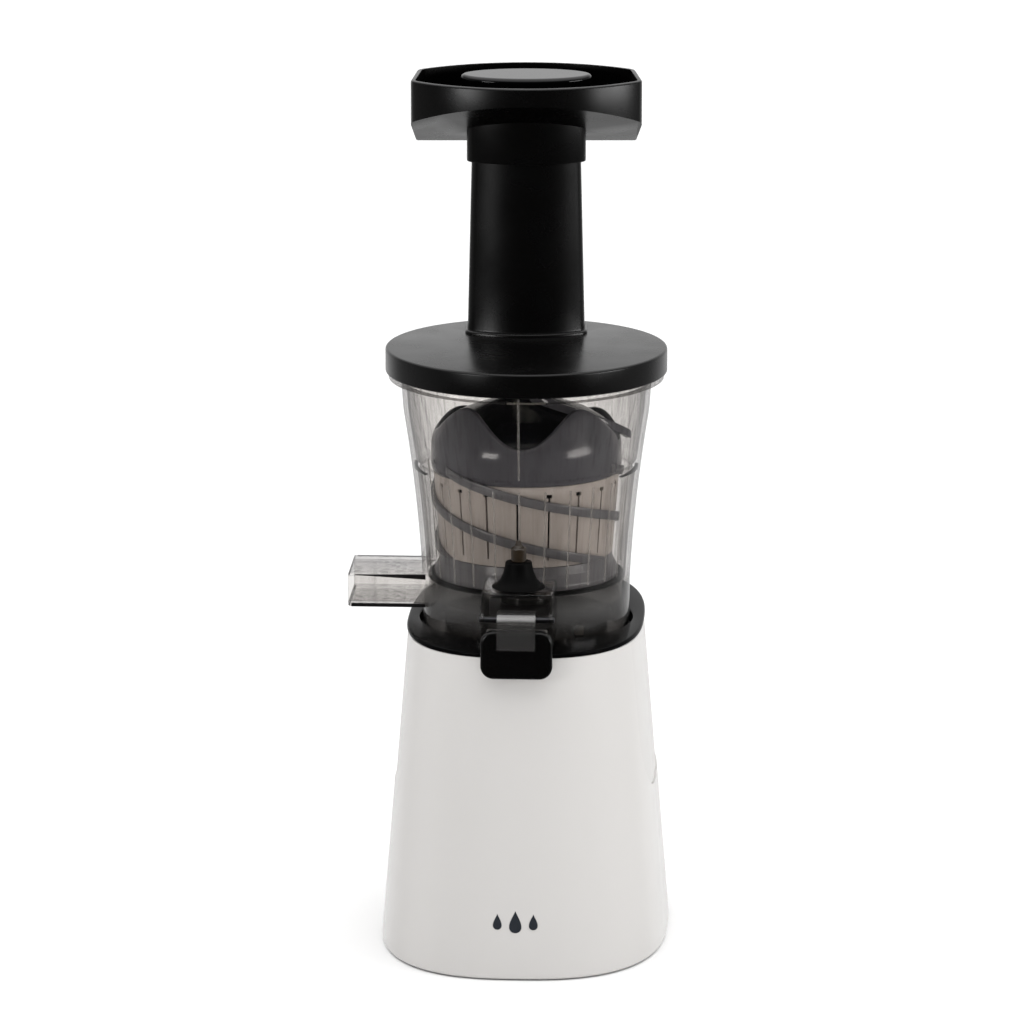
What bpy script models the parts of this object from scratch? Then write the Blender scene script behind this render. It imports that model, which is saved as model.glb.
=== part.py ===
"""Upright slow juicer as an assembly of separate sub-parts, for Blender 4.5.

The model is in metres with +Z up. The floor is at z = 0 and the front faces -Y. The drum, the auger
and the drive train share one upright axis. Every size and place below is in millimetres from that
axis, and the shape builders turn them into metres.
"""
import math

import bmesh
import bpy
from mathutils import Euler, Vector

MM = 0.001
GAP = 0.3
MERGE = 0.00001
OBJECT_NAME = "slow_juicer"

# The upright axis sits here, which puts the middle of the footprint within 1.2 mm of the origin.
AXIS_X = 8.7
AXIS_Y = -5.5

ROUND_STEPS = 40
AUGER_STEPS = 32
SMALL_STEPS = 20
TINY_STEPS = 10
FOOT_STEPS = 16
LEFT_AND_RIGHT = {"left": -1, "right": 1}

# Base: a rounded box that narrows upwards.
BASE_BOTTOM = 0.6
BASE_TOP = 152.0
BASE_HALF_WIDTH_TOP = 56.5
BASE_FLARE = 12.3
BASE_FRONT_BOTTOM, BASE_FRONT_TOP = 95.5, 77.0
BASE_REAR_BOTTOM, BASE_REAR_TOP = 104.0, 99.0
BASE_ROUNDNESS = 2.6
BASE_WALL = 3.0
RING_POINTS = 32
BASE_LEVELS = (BASE_BOTTOM, 3.0, 30.0, 56.0, 82.0, 108.0, 130.0, BASE_TOP)
SEAM_Y = 12.0

# Side panels set into the base.
PANEL_FRONT, PANEL_REAR = -41.0, 60.0
PANEL_BOTTOM = 76.5
PANEL_CORNER = 27.0
PANEL_INSET = 0.6
PANEL_THICKNESS = 1.2

# Top plate and the round well that the drum stands in.
PLATE_TOP = 154.2
PLATE_UNDERSIDE = 146.0
WELL_FLOOR = 148.6
WELL_RADIUS = 51.0

# Bottom cover, its feet and its screws.
COVER_LOW, COVER_HIGH = 3.0, 6.0
FOOT_X, FOOT_FRONT_Y, FOOT_REAR_Y = 40.0, -58.0, 68.0
FOOT_RADIUS = 9.0
SCREW_SPREAD = 22.0
FOOT_PLACES = tuple((side * FOOT_X, along) for along in (FOOT_FRONT_Y, FOOT_REAR_Y)
                    for side in (-1, 1))
SCREW_PLACES = tuple((side * SCREW_SPREAD, end * SCREW_SPREAD) for side in (-1, 1)
                     for end in (-1, 1))

# Motor.
MOTOR_RADIUS = 38.0
ROTOR_RADIUS = 21.0
SHAFT_RADIUS = 3.0
STATOR_LOW, STATOR_HIGH = 24.0, 60.0
MOTOR_TOP = 75.5
ROTOR_SHAFT_TOP = 92.8

# Two-stage gearbox: the output comes back onto the motor's axis.
IDLER_DISTANCE = 36.0
SMALL_TEETH, LARGE_TEETH = 12, 48
GEAR_MODULE = 1.2
ROOT_SHARE, TIP_SHARE = 0.25, 0.09
CASE_LOW, CASE_HIGH = 78.0, 118.0
CASE_RADIUS = 36.0
CASE_WALL = 2.5
FIRST_STAGE_LOW, FIRST_STAGE_HIGH = 84.5, 91.5
SECOND_STAGE_LOW, SECOND_STAGE_HIGH = 95.5, 105.0
OUTPUT_SHAFT_RADIUS = 5.5
HEX_RADIUS = 5.8
HEX_LOW, HEX_TOP = 140.0, 183.0

# Power switch on the back, and the sprung plunger under the drum.
SWITCH_MIDDLE = 61.0
ROCKER_REST_DEG = 8.0
PLUNGER_PLACE = (26.0, -14.0, 0.0)
SPRING_LOW, SPRING_HIGH = 131.3, 141.2

# Drum.
DRUM_BOTTOM = 149.0
DRUM_FLOOR = 164.2
DRUM_UNDERSIDE = 161.8
DRUM_RIM = 281.2
DRUM_FLARE_START, DRUM_FLARE_END = 172.0, 256.0
FLANGE_RADIUS, FLANGE_LOW, FLANGE_HIGH = 65.6, 271.2, 274.0
HUB_TUBE_RADIUS = 12.0
HUB_TUBE_LOW = 152.2
HUB_BORE = 9.5

# Pulp spout on the left and juice duct at the front.
SPOUT_END = 84.0
SPOUT_HALF_WIDTH = 20.0
SPOUT_LOW, SPOUT_HIGH = 161.9, 178.4
DUCT_HALF_WIDTH = 17.0
DUCT_LOW, DUCT_HIGH = 158.0, 183.5
DUCT_END = 79.5
DUCT_WALL = 1.8

# Swinging cap on the juice duct.
CAP_PIVOT_Y, CAP_PIVOT_Z = -80.0, 171.5
CAP_LOW, CAP_HIGH = 144.0, 167.0
CAP_BACK, CAP_FRONT = -80.3, -86.0
CAP_HALF_WIDTH = 16.9
LEVER_HALF_WIDTH = 9.0

# Auger.
STRAINER_LOW, STRAINER_HIGH = 187.3, 226.7
STRAINER_BOTTOM_RADIUS, STRAINER_TOP_RADIUS = 41.2, 44.4
SCREW_RADIUS = 45.4
DOME_PROFILE = ((8.0, 261.0), (18.0, 259.0), (30.0, 254.5), (39.0, 249.5), (44.0, 245.0),
                (SCREW_RADIUS, 241.0))
CROWN_LOBES = 4
CROWN_LOW, CROWN_RISE = 245.0, 16.0
CROWN_REAR_DROP = 0.95
CROWN_SLOPE = 0.35
CROWN_WALL = 2.6
FLIGHT_COUNT = 3
FLIGHT_LEAD = 68.0
FLIGHT_HEIGHT = 5.0
FLIGHT_TOP_AT_FRONT = 223.3
WING_START_DEG = -70.0
WING_SWEEP_DEG = 75.0
WING_INNER, WING_OUTER = 10.0, 48.5
WING_TOP, WING_DROP = 268.0, 24.5

# Lid, chute and hopper tray, turned a little against the base.
LID_TURN_DEG = 3.3
LID_RADIUS = 67.0
LID_LOW, LID_HIGH = 274.3, 285.9
LID_UNDERSIDE = 283.3
CHUTE_HALF_WIDTH_LOW, CHUTE_HALF_WIDTH_HIGH = 28.1, 25.8
CHUTE_TOP = 384.0
CHUTE_MIDDLE_Y = 43.0
CHUTE_FRONT_RADIUS, CHUTE_FRONT_CENTRE = 50.0, 70.1
CHUTE_REAR_RADIUS = 58.5
CHUTE_WALL = 2.4
TRAY_RIM = 410.0
TRAY_BOTTOM = 376.4
TRAY_WALL = 2.2
TRAY_ARC_RADIUS = 75.0
TRAY_FRONT_Y, TRAY_BACK_Y = -4.7, 75.0
TRAY_FRONT_HALF_WIDTH, TRAY_BACK_HALF_WIDTH = 55.2, 52.0
TRAY_SLOPE_START_Y = 48.0
TRAY_SLOPE_DEG = 25.4
THROAT_LOW, THROAT_RISE = 369.4, 17.0
THROAT_HALF_WIDTH = 28.4
PUSHER_LOW, PUSHER_HIGH = 300.0, 391.5
PUSHER_CAP_TOP = 409.6
PUSHER_HALF_WIDTH = 22.6


# Scene set-up and shape builders.

def clear_scene():
    for item in list(bpy.data.objects):
        bpy.data.objects.remove(item, do_unlink=True)


def new_collection(name):
    collection = bpy.data.collections.new(name)
    bpy.context.scene.collection.children.link(collection)
    return collection


def new_material(name, colour, roughness, metallic=0.0, transmission=0.0):
    material = bpy.data.materials.new(name)
    material.use_nodes = True
    material.diffuse_color = (*colour, 1.0)
    shader = material.node_tree.nodes["Principled BSDF"]
    shader.inputs["Base Color"].default_value = (*colour, 1.0)
    shader.inputs["Roughness"].default_value = roughness
    shader.inputs["Metallic"].default_value = metallic
    shader.inputs["Transmission Weight"].default_value = transmission
    return material


def new_frame(name, parent=None, place=(0, 0, 0), turn_z=0.0):
    """An empty that sub-parts hang from, such as the axis of a joint."""
    frame = bpy.data.objects.new(name, None)
    FRAMES.objects.link(frame)
    frame.parent = parent
    frame.location = Vector(place) * MM
    frame.rotation_euler.z = math.radians(turn_z)
    return frame


def add_object(name, mesh, look, parent):
    """Adds a sub-part, or a cutter when it has no look."""
    item = bpy.data.objects.new(name, mesh)
    if look:
        PARTS.objects.link(item)
        mesh.materials.append(look)
    else:
        CUTTERS.objects.link(item)
        item.hide_render = True
        item.display_type = "WIRE"
    item.parent = parent
    return item


def smooth(mesh, angle=35.0):
    mesh.shade_smooth()
    mesh.set_sharp_from_angle(angle=math.radians(angle))


def turned(name, profile, look, parent, place=(0, 0, 0), steps=ROUND_STEPS):
    """Turns (radius, height) points about Z. They run down the outer side and up the inner side."""
    mesh = bpy.data.meshes.new(name)
    points = [(radius * MM, 0.0, height * MM) for radius, height in profile]
    edges = [(index, index + 1) for index in range(len(points) - 1)]
    is_ring = profile[0][0] > 0
    if is_ring:
        edges.append((len(points) - 1, 0))
    mesh.from_pydata(points, edges, [])
    item = add_object(name, mesh, look, parent)
    item.location = Vector(place) * MM
    screw = item.modifiers.new("Turn", "SCREW")
    screw.steps = screw.render_steps = steps
    screw.use_merge_vertices = True
    screw.merge_threshold = MERGE
    screw.use_smooth_shade = True
    return item


def flat_piece(name, outline, low, high, look, parent, holes=(), turn=(0, 0, 0), place=(0, 0, 0)):
    """Fills an outline, less its holes, and thickens it from low to high along its own Z."""
    curve = bpy.data.curves.new(name, "CURVE")
    curve.dimensions = "2D"
    curve.fill_mode = "BOTH"
    curve.extrude = (high - low) / 2 * MM
    for loop in (outline, *holes):
        spline = curve.splines.new("POLY")
        spline.points.add(len(loop) - 1)
        spline.use_cyclic_u = True
        for point, (across, along) in zip(spline.points, loop):
            point.co = (across * MM, along * MM, 0.0, 1.0)
    shape = bpy.data.objects.new(name + "_curve", curve)
    bpy.context.scene.collection.objects.link(shape)
    shape.location.z = (high + low) / 2 * MM
    mesh = curve_to_mesh(shape, name)
    item = add_object(name, mesh, look, parent)
    item.rotation_euler = Euler([math.radians(angle) for angle in turn])
    item.location = Vector(place) * MM
    return item


def curve_to_mesh(shape, name):
    """Turns a curve object into a mesh with its caps welded on, and removes the curve."""
    bpy.context.view_layer.update()
    evaluated = shape.evaluated_get(bpy.context.evaluated_depsgraph_get())
    mesh = bpy.data.meshes.new_from_object(evaluated)
    mesh.name = name
    mesh.transform(shape.matrix_world)
    bpy.data.objects.remove(shape)
    cage = bmesh.new()
    cage.from_mesh(mesh)
    bmesh.ops.remove_doubles(cage, verts=cage.verts, dist=MERGE)
    cage.to_mesh(mesh)
    cage.free()
    return mesh


def box(name, low, high, look, parent, bevel=0.0, place=(0, 0, 0)):
    low, high = Vector(low) * MM, Vector(high) * MM
    cage = bmesh.new()
    bmesh.ops.create_cube(cage, size=1.0)
    bmesh.ops.scale(cage, vec=high - low, verts=cage.verts)
    bmesh.ops.translate(cage, vec=(low + high) / 2, verts=cage.verts)
    item = add_cage(name, cage, look, parent, place)
    if bevel:
        add_bevel(item, bevel)
    return item


def cylinder(name, radius, low, high, look, parent, place=(0, 0, 0), turn=(0, 0, 0),
             steps=SMALL_STEPS, top_radius=None):
    """A round or many-sided bar from low to high along its own Z."""
    cage = bmesh.new()
    top = radius if top_radius is None else top_radius
    bmesh.ops.create_cone(cage, cap_ends=True, segments=steps, radius1=radius * MM,
                          radius2=top * MM, depth=(high - low) * MM)
    bmesh.ops.translate(cage, vec=(0, 0, (low + high) / 2 * MM), verts=cage.verts)
    item = add_cage(name, cage, look, parent, place)
    item.rotation_euler = Euler([math.radians(angle) for angle in turn])
    if steps > 6:
        smooth(item.data)
    return item


def loft(name, rings, look, parent, capped=True):
    """Joins rings of points, listed from the bottom up, which no single primitive can follow."""
    cage = bmesh.new()
    rows = [[cage.verts.new(Vector(point) * MM) for point in ring] for ring in rings]
    count = len(rows[0])
    for lower, upper in zip(rows, rows[1:]):
        for index in range(count):
            following = (index + 1) % count
            cage.faces.new((lower[index], lower[following], upper[following], upper[index]))
    if capped:
        cage.faces.new(reversed(rows[0]))
        cage.faces.new(rows[-1])
    item = add_cage(name, cage, look, parent)
    smooth(item.data)
    return item


def strip(name, rows, look, parent):
    """An open sheet through rows of points, for a band or a blade that follows a formula."""
    cage = bmesh.new()
    rows = [[cage.verts.new(Vector(point) * MM) for point in row] for row in rows]
    for here, there in zip(rows, rows[1:]):
        for index in range(len(here) - 1):
            cage.faces.new((here[index], there[index], there[index + 1], here[index + 1]))
    return add_cage(name, cage, look, parent)


def add_cage(name, cage, look, parent, place=(0, 0, 0)):
    mesh = bpy.data.meshes.new(name)
    cage.to_mesh(mesh)
    cage.free()
    item = add_object(name, mesh, look, parent)
    item.location = Vector(place) * MM
    return item


def add_bevel(item, width, segments=2):
    bevel = item.modifiers.new("Round", "BEVEL")
    bevel.width = width * MM
    bevel.segments = segments
    bevel.limit_method = "ANGLE"


def combine(item, other, operation="DIFFERENCE"):
    step = item.modifiers.new(operation.title(), "BOOLEAN")
    step.operation = operation
    step.object = other
    step.solver = "EXACT"


def arc(centre_x, centre_y, radius, start_deg, end_deg, steps):
    """Points along an arc, counter-clockwise when the end angle is the larger."""
    angles = [math.radians(start_deg + (end_deg - start_deg) * step / steps)
              for step in range(steps + 1)]
    return [(centre_x + radius * math.cos(angle), centre_y + radius * math.sin(angle))
            for angle in angles]


def circle(radius, centre=(0, 0), steps=SMALL_STEPS):
    return arc(*centre, radius, 0.0, 360.0, steps)[:-1]


def rounded_rectangle(low, high, corner, steps=4):
    """Corner points low and high, with the corners rounded by one radius."""
    centres = ((high[0] - corner, high[1] - corner, 0), (low[0] + corner, high[1] - corner, 90),
               (low[0] + corner, low[1] + corner, 180), (high[0] - corner, low[1] + corner, 270))
    points = []
    for centre_x, centre_y, start in centres:
        points += arc(centre_x, centre_y, corner, start, start + 90, steps)
    return points


# Base housing.

def base_half_width(height):
    share = max(BASE_TOP - height, 0.0) / BASE_TOP
    return BASE_HALF_WIDTH_TOP + BASE_FLARE * share


def base_outline(height, inset=0.0, count=RING_POINTS):
    """The base's plan at a height: a superellipse that is deeper at the back than at the front."""
    share = min(height / BASE_TOP, 1.0)
    half_width = base_half_width(height) - inset
    front = BASE_FRONT_BOTTOM + (BASE_FRONT_TOP - BASE_FRONT_BOTTOM) * share - inset
    rear = BASE_REAR_BOTTOM + (BASE_REAR_TOP - BASE_REAR_BOTTOM) * share - inset
    points = []
    for index in range(count):
        angle = 2 * math.pi * index / count
        across, along = math.cos(angle), math.sin(angle)
        depth = rear if along > 0 else front
        points.append((math.copysign(abs(across) ** (2 / BASE_ROUNDNESS), across) * half_width,
                       math.copysign(abs(along) ** (2 / BASE_ROUNDNESS), along) * depth))
    return points


def base_ring(height, inset=0.0):
    return [(across, along, height) for across, along in base_outline(height, inset)]


def base_body(name, inset, parent):
    """A closed body inset from the base's surface, for cutting pockets and panels to its curve."""
    levels = (BASE_BOTTOM - 5.0, *BASE_LEVELS[1:-1], BASE_TOP + 5.0)
    return loft(name, [base_ring(level, inset) for level in levels], None, parent)


def panel_prism(name, side, grow, parent):
    """The side panel's outline in the side view, run through one side wall along X."""
    corner = PANEL_CORNER + grow
    low, high = PANEL_FRONT - grow, PANEL_REAR + grow
    floor = PANEL_BOTTOM - grow
    outline = [(high, BASE_TOP - 0.3 + 20 * (grow > 0)), (low, BASE_TOP - 0.3 + 20 * (grow > 0))]
    outline += arc(low + corner, floor + corner, corner, 180, 270, 6)
    outline += arc(high - corner, floor + corner, corner, 270, 360, 6)
    inner, outer = (30.0, 90.0) if side > 0 else (-90.0, -30.0)
    return flat_piece(name, outline, inner, outer, None, parent, turn=(90, 0, 90))


def build_housing(parent, look):
    """Front and rear shells that meet at a seam behind the widest line, with panel pockets."""
    pockets = []
    for side_name, side in LEFT_AND_RIGHT.items():
        pocket = panel_prism("pocket_" + side_name, side, GAP, parent)
        combine(pocket, base_body("pocket_floor_" + side_name,
                                  PANEL_INSET + PANEL_THICKNESS + GAP, parent))
        pockets.append(pocket)
    halves = {"housing_front": (-150.0, SEAM_Y - GAP / 2), "housing_rear": (SEAM_Y + GAP / 2, 150.0)}
    shells = {}
    for name, (start, end) in halves.items():
        rings = [base_ring(level, 1.0 if level == BASE_BOTTOM else 0.0) for level in BASE_LEVELS]
        shell = loft(name, rings, look, parent, capped=False)
        wall = shell.modifiers.new("Wall", "SOLIDIFY")
        wall.thickness = BASE_WALL * MM
        wall.offset = -1.0
        keep = box(name + "_half", (-90, start, -10), (90, end, 170), None, parent)
        combine(shell, keep, "INTERSECT")
        for pocket in pockets:
            combine(shell, pocket)
        shells[name] = shell
    rear = shells["housing_rear"]
    combine(rear, box("switch_window", (-7.3, 80, 49.7), (7.3, 120, 72.3), None, parent))
    combine(rear, cylinder("gland_hole", 6.3, -125, -80, None, parent, (0, 0, 18), (90, 0, 0)))


def build_side_panels(parent, look):
    for side_name, side in LEFT_AND_RIGHT.items():
        rings = [base_ring(level, PANEL_INSET) for level in BASE_LEVELS[1:]]
        panel = loft("side_panel_" + side_name, rings, look, parent)
        combine(panel, panel_prism("panel_edge_" + side_name, side, 0.0, parent), "INTERSECT")
        combine(panel, base_body("panel_back_" + side_name,
                                 PANEL_INSET + PANEL_THICKNESS, parent))


def build_top_plate(parent, look):
    rim = flat_piece("top_plate", base_outline(BASE_TOP), BASE_TOP + GAP, PLATE_TOP, look, parent)
    inner = base_outline(BASE_TOP, BASE_WALL + 0.4)
    combine(rim, flat_piece("plate_skirt", inner, PLATE_UNDERSIDE, PLATE_TOP - 0.8, None, parent),
            "UNION")
    combine(rim, cylinder("drum_well", WELL_RADIUS, WELL_FLOOR, 170, None, parent,
                          steps=ROUND_STEPS))
    combine(rim, cylinder("shaft_window", 12.0, 130, 170, None, parent))
    combine(rim, cylinder("plunger_guide", 2.5, 130, 170, None, parent, PLUNGER_PLACE,
                          steps=TINY_STEPS))


def build_bottom_cover(parent, look):
    holes = [circle(2.8, place, TINY_STEPS) for place in FOOT_PLACES]
    holes += [circle(2.2, place, TINY_STEPS) for place in SCREW_PLACES]
    flat_piece("bottom_cover", base_outline(COVER_LOW, BASE_WALL + 1.9), COVER_LOW, COVER_HIGH,
               look, parent, holes)


def build_feet(parent, look):
    profile = ((0, 5.4), (2.5, 5.4), (2.5, 2.7), (FOOT_RADIUS, 2.7), (FOOT_RADIUS, 0.7),
               (FOOT_RADIUS - 0.7, 0), (0, 0))
    names = ("foot_front_left", "foot_front_right", "foot_rear_left", "foot_rear_right")
    for name, place in zip(names, FOOT_PLACES):
        turned(name, profile, look, parent, (*place, 0), FOOT_STEPS)


def build_cover_screws(parent, look):
    profile = ((0, 11.6), (1.9, 11.6), (1.9, 2.7), (4.0, 2.7), (4.0, 1.6), (3.2, 0.9), (0, 0.9))
    for number, place in enumerate(SCREW_PLACES, 1):
        turned(f"cover_screw_{number}", profile, look, parent, (*place, 0), TINY_STEPS)


# Motor and gearbox.

def build_motor_frame(parent, metal, iron, copper):
    floor = 9.6
    lower = turned("motor_lower_bell",
                   ((MOTOR_RADIUS, STATOR_LOW - GAP), (MOTOR_RADIUS, floor), (3.4, floor),
                    (3.4, floor + 2.8), (35.2, floor + 2.8), (35.2, STATOR_LOW - GAP)),
                   metal, parent, steps=SMALL_STEPS)
    for number, place in enumerate(SCREW_PLACES, 1):
        combine(lower, cylinder(f"bell_pad_{number}", 5.0, COVER_HIGH + GAP, floor + 1.0, None,
                                parent, (*place, 0), steps=TINY_STEPS), "UNION")
    for number, place in enumerate(SCREW_PLACES, 1):
        combine(lower, cylinder(f"bell_hole_{number}", 2.2, 0, 20, None, parent, (*place, 0),
                                steps=TINY_STEPS))
    turned("motor_stator",
           ((37.0, STATOR_HIGH), (37.0, STATOR_LOW), (21.8, STATOR_LOW), (21.8, STATOR_HIGH)),
           iron, parent, steps=SMALL_STEPS)
    turned("motor_upper_bell",
           ((34.0, MOTOR_TOP), (MOTOR_RADIUS, MOTOR_TOP - 4), (MOTOR_RADIUS, STATOR_HIGH + GAP),
            (35.2, STATOR_HIGH + GAP), (35.2, MOTOR_TOP - 4.6), (33.0, MOTOR_TOP - 2.6),
            (3.4, MOTOR_TOP - 2.6), (3.4, MOTOR_TOP)),
           metal, parent, steps=SMALL_STEPS)
    for name, middle in (("winding_lower", STATOR_LOW - 3.3), ("winding_upper", STATOR_HIGH + 3.3)):
        profile = arc(29.0, middle, 3.0, 90, -270, 6)[:-1]
        turned(name, profile, copper, parent, steps=SMALL_STEPS)


def build_rotor(parent, iron, steel, plastic):
    rotor = cylinder("motor_rotor", ROTOR_RADIUS, STATOR_LOW + 1, STATOR_HIGH - 1, iron, parent)
    combine(rotor, cylinder("rotor_shaft", SHAFT_RADIUS, 12.9, ROTOR_SHAFT_TOP, None, parent,
                            steps=TINY_STEPS), "UNION")
    fan = turned("motor_fan", ((7.0, 17.2), (7.0, 14.3), (22.0, 14.3), (22.0, 13.0), (3.3, 13.0),
                               (3.3, 17.2)), plastic, parent, steps=TINY_STEPS)
    for number in range(4):
        blade = box(f"fan_blade_{number}", (6.5, -0.8, 13.5), (21.0, 0.8, 17.2), None, parent)
        blade.rotation_euler.z = math.radians(45 + 90 * number)
        combine(fan, blade, "UNION")
    gear("motor_pinion", SMALL_TEETH, GEAR_MODULE, FIRST_STAGE_LOW, FIRST_STAGE_HIGH,
         SHAFT_RADIUS + GAP, steel, parent, turn=180 / SMALL_TEETH)


def gear_outline(teeth, module):
    """Straight-sided teeth, thinned to leave backlash."""
    pitch_radius = teeth * module / 2
    root, tip = pitch_radius - 1.2 * module, pitch_radius + 0.85 * module
    pitch_angle = 360 / teeth
    outline = []
    for tooth in range(teeth):
        middle = tooth * pitch_angle
        corners = ((root, -ROOT_SHARE), (tip, -TIP_SHARE), (tip, TIP_SHARE), (root, ROOT_SHARE))
        for radius, share in corners:
            angle = math.radians(middle + share * pitch_angle)
            outline.append((radius * math.cos(angle), radius * math.sin(angle)))
    return outline


def gear(name, teeth, module, low, high, bore, look, parent, turn=0.0):
    return flat_piece(name, gear_outline(teeth, module), low, high, look, parent,
                      (circle(bore, steps=TINY_STEPS),), (0, 0, turn))


def build_idler(parent, steel, plastic):
    gear("idler_gear", LARGE_TEETH, GEAR_MODULE, FIRST_STAGE_LOW, FIRST_STAGE_HIGH,
         SHAFT_RADIUS + GAP, plastic, parent)
    shaft = flat_piece("idler_pinion_shaft", gear_outline(SMALL_TEETH, GEAR_MODULE),
                       SECOND_STAGE_LOW, SECOND_STAGE_HIGH, steel, parent)
    combine(shaft, cylinder("idler_bar", SHAFT_RADIUS, CASE_LOW + 0.8, CASE_HIGH + 2.0, None,
                            parent, steps=TINY_STEPS), "UNION")


def build_output(parent, steel, plastic):
    gear("output_gear", LARGE_TEETH, GEAR_MODULE, SECOND_STAGE_LOW, SECOND_STAGE_HIGH,
         OUTPUT_SHAFT_RADIUS + GAP, plastic, parent, turn=180 / LARGE_TEETH)
    shaft = cylinder("drive_shaft", OUTPUT_SHAFT_RADIUS, 93.6, HEX_LOW + 5, steel, parent)
    combine(shaft, cylinder("drive_hex", HEX_RADIUS, HEX_LOW, HEX_TOP, None, parent, steps=6),
            "UNION")


def stadium(radius):
    """Two half circles, about the main axis and the idler's axis, joined by straight sides."""
    return (arc(0, 0, radius, 180, 360, 14) + arc(0, IDLER_DISTANCE, radius, 0, 180, 14))


def build_gearbox(parent, plastic, metal):
    case = flat_piece("gearbox_case", stadium(CASE_RADIUS), CASE_LOW, CASE_HIGH, plastic, parent)
    combine(case, flat_piece("gear_room", stadium(CASE_RADIUS - CASE_WALL), CASE_LOW + CASE_WALL,
                             CASE_HIGH + 5, None, parent))
    combine(case, cylinder("rotor_window", 8.5, 70, 90, None, parent))
    combine(case, cylinder("idler_seat", SHAFT_RADIUS + GAP, 70, 90, None, parent,
                           (0, IDLER_DISTANCE, 0), steps=TINY_STEPS))
    cover_top = CASE_HIGH + 3.5
    cover = flat_piece("gearbox_cover", stadium(CASE_RADIUS), CASE_HIGH + GAP, cover_top, plastic,
                       parent, (circle(SHAFT_RADIUS + GAP, (0, IDLER_DISTANCE), TINY_STEPS),))
    combine(cover, cylinder("bearing_boss", 14.0, CASE_HIGH + 1.5, cover_top + 9.5, None, parent),
            "UNION")
    combine(cover, cylinder("bearing_seat", 11.3, cover_top + 1, cover_top + 20, None, parent))
    combine(cover, cylinder("cover_bore", 7.0, 110, 150, None, parent))
    turned("output_bearing", ((11.0, cover_top + 8.5), (11.0, cover_top + 1.3),
                              (OUTPUT_SHAFT_RADIUS + 0.1, cover_top + 1.3),
                              (OUTPUT_SHAFT_RADIUS + 0.1, cover_top + 8.5)),
           metal, parent, steps=SMALL_STEPS)


def build_shaft_lip_seal(parent, look):
    turned("shaft_lip_seal", ((9.0, 150.8), (11.7, 149.6), (11.7, PLATE_UNDERSIDE),
                              (HEX_RADIUS + 0.4, PLATE_UNDERSIDE), (HEX_RADIUS + 0.4, 150.8)),
           look, parent, steps=SMALL_STEPS)


# Electrics in the base.

def build_control_board(parent, look):
    box("control_board", (-24, 82.0, 84), (24, 83.6, 134), look, parent)


def build_switch(parent, case_look, rocker_look):
    """A rocker switch through the back wall. It rests tilted to one side, which is off."""
    low, high = SWITCH_MIDDLE - 11, SWITCH_MIDDLE + 11
    body = box("switch_body", (-7, 86, low), (7, 103.3, high), case_look, parent)
    combine(body, box("switch_bezel", (-9, 102.8, low - 2), (9, 103.9, high + 2), None, parent),
            "UNION")
    combine(body, box("rocker_room", (-5.6, 95, low + 2), (5.6, 110, high - 2), None, parent))
    frame = new_frame("rocker_axis", parent, (0, 100.2, SWITCH_MIDDLE))
    rocker = box("switch_rocker", (-5.2, -3.0, -7.6), (5.2, 3.4, 7.6), rocker_look, frame, 0.6)
    rocker.rotation_euler.x = math.radians(ROCKER_REST_DEG)


def build_cord_gland(parent, look):
    wall_inside = 98.6
    profile = ((6.0, 103.9), (6.0, wall_inside), (8.5, wall_inside), (8.5, 94.0), (6.0, 93.0),
               (6.0, 88.0), (3.0, 88.0), (3.0, 103.9))
    gland = turned("cord_gland", profile, look, parent, (0, 0, 18), FOOT_STEPS)
    gland.rotation_euler.x = math.radians(-90)


def build_interlock(parent, plastic, steel):
    """A sprung plunger in the drum's well, above the switch that it presses."""
    x, y, _ = PLUNGER_PLACE
    box("interlock_switch", (x - 9, y - 4, 121.9), (x + 9, y + 4, SPRING_LOW - GAP), plastic,
        parent, 0.5)
    frame = new_frame("plunger_axis", parent, PLUNGER_PLACE)
    profile = ((0, 153.0), (1.5, 153.0), (2.2, 152.3), (2.2, 143.6), (3.8, 143.6),
               (3.8, SPRING_HIGH + GAP), (1.6, SPRING_HIGH + GAP), (1.6, 138.0), (0, 138.0))
    turned("interlock_plunger", profile, plastic, frame, steps=TINY_STEPS)
    build_spring(parent, steel)


def build_spring(parent, look):
    wire, coil_radius, turns, points_per_turn = 0.4, 2.8, 4, 8
    curve = bpy.data.curves.new("interlock_spring", "CURVE")
    curve.dimensions = "3D"
    curve.bevel_depth = wire * MM
    curve.bevel_resolution = 0
    curve.use_fill_caps = True
    spline = curve.splines.new("POLY")
    count = turns * points_per_turn
    spline.points.add(count)
    low, high = SPRING_LOW + wire, SPRING_HIGH - wire
    for index, point in enumerate(spline.points):
        angle = 2 * math.pi * index / points_per_turn
        height = low + (high - low) * index / count
        point.co = (coil_radius * math.cos(angle) * MM, coil_radius * math.sin(angle) * MM,
                    height * MM, 1.0)
    shape = bpy.data.objects.new("spring_curve", curve)
    bpy.context.scene.collection.objects.link(shape)
    item = add_object("interlock_spring", curve_to_mesh(shape, "interlock_spring"), look, parent)
    item.location = Vector(PLUNGER_PLACE) * MM
    smooth(item.data)


# Drum group.

def drum_outer_radius(height):
    """The drum's outer wall: upright low down, flaring in a gentle curve, then nearly upright."""
    rise = min(max(height, DRUM_FLARE_START), DRUM_FLARE_END) - DRUM_FLARE_START
    above = max(height - DRUM_FLARE_END, 0.0)
    return 49.5 + 0.05 * rise + 0.00069 * rise * rise + 0.07 * above


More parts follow.
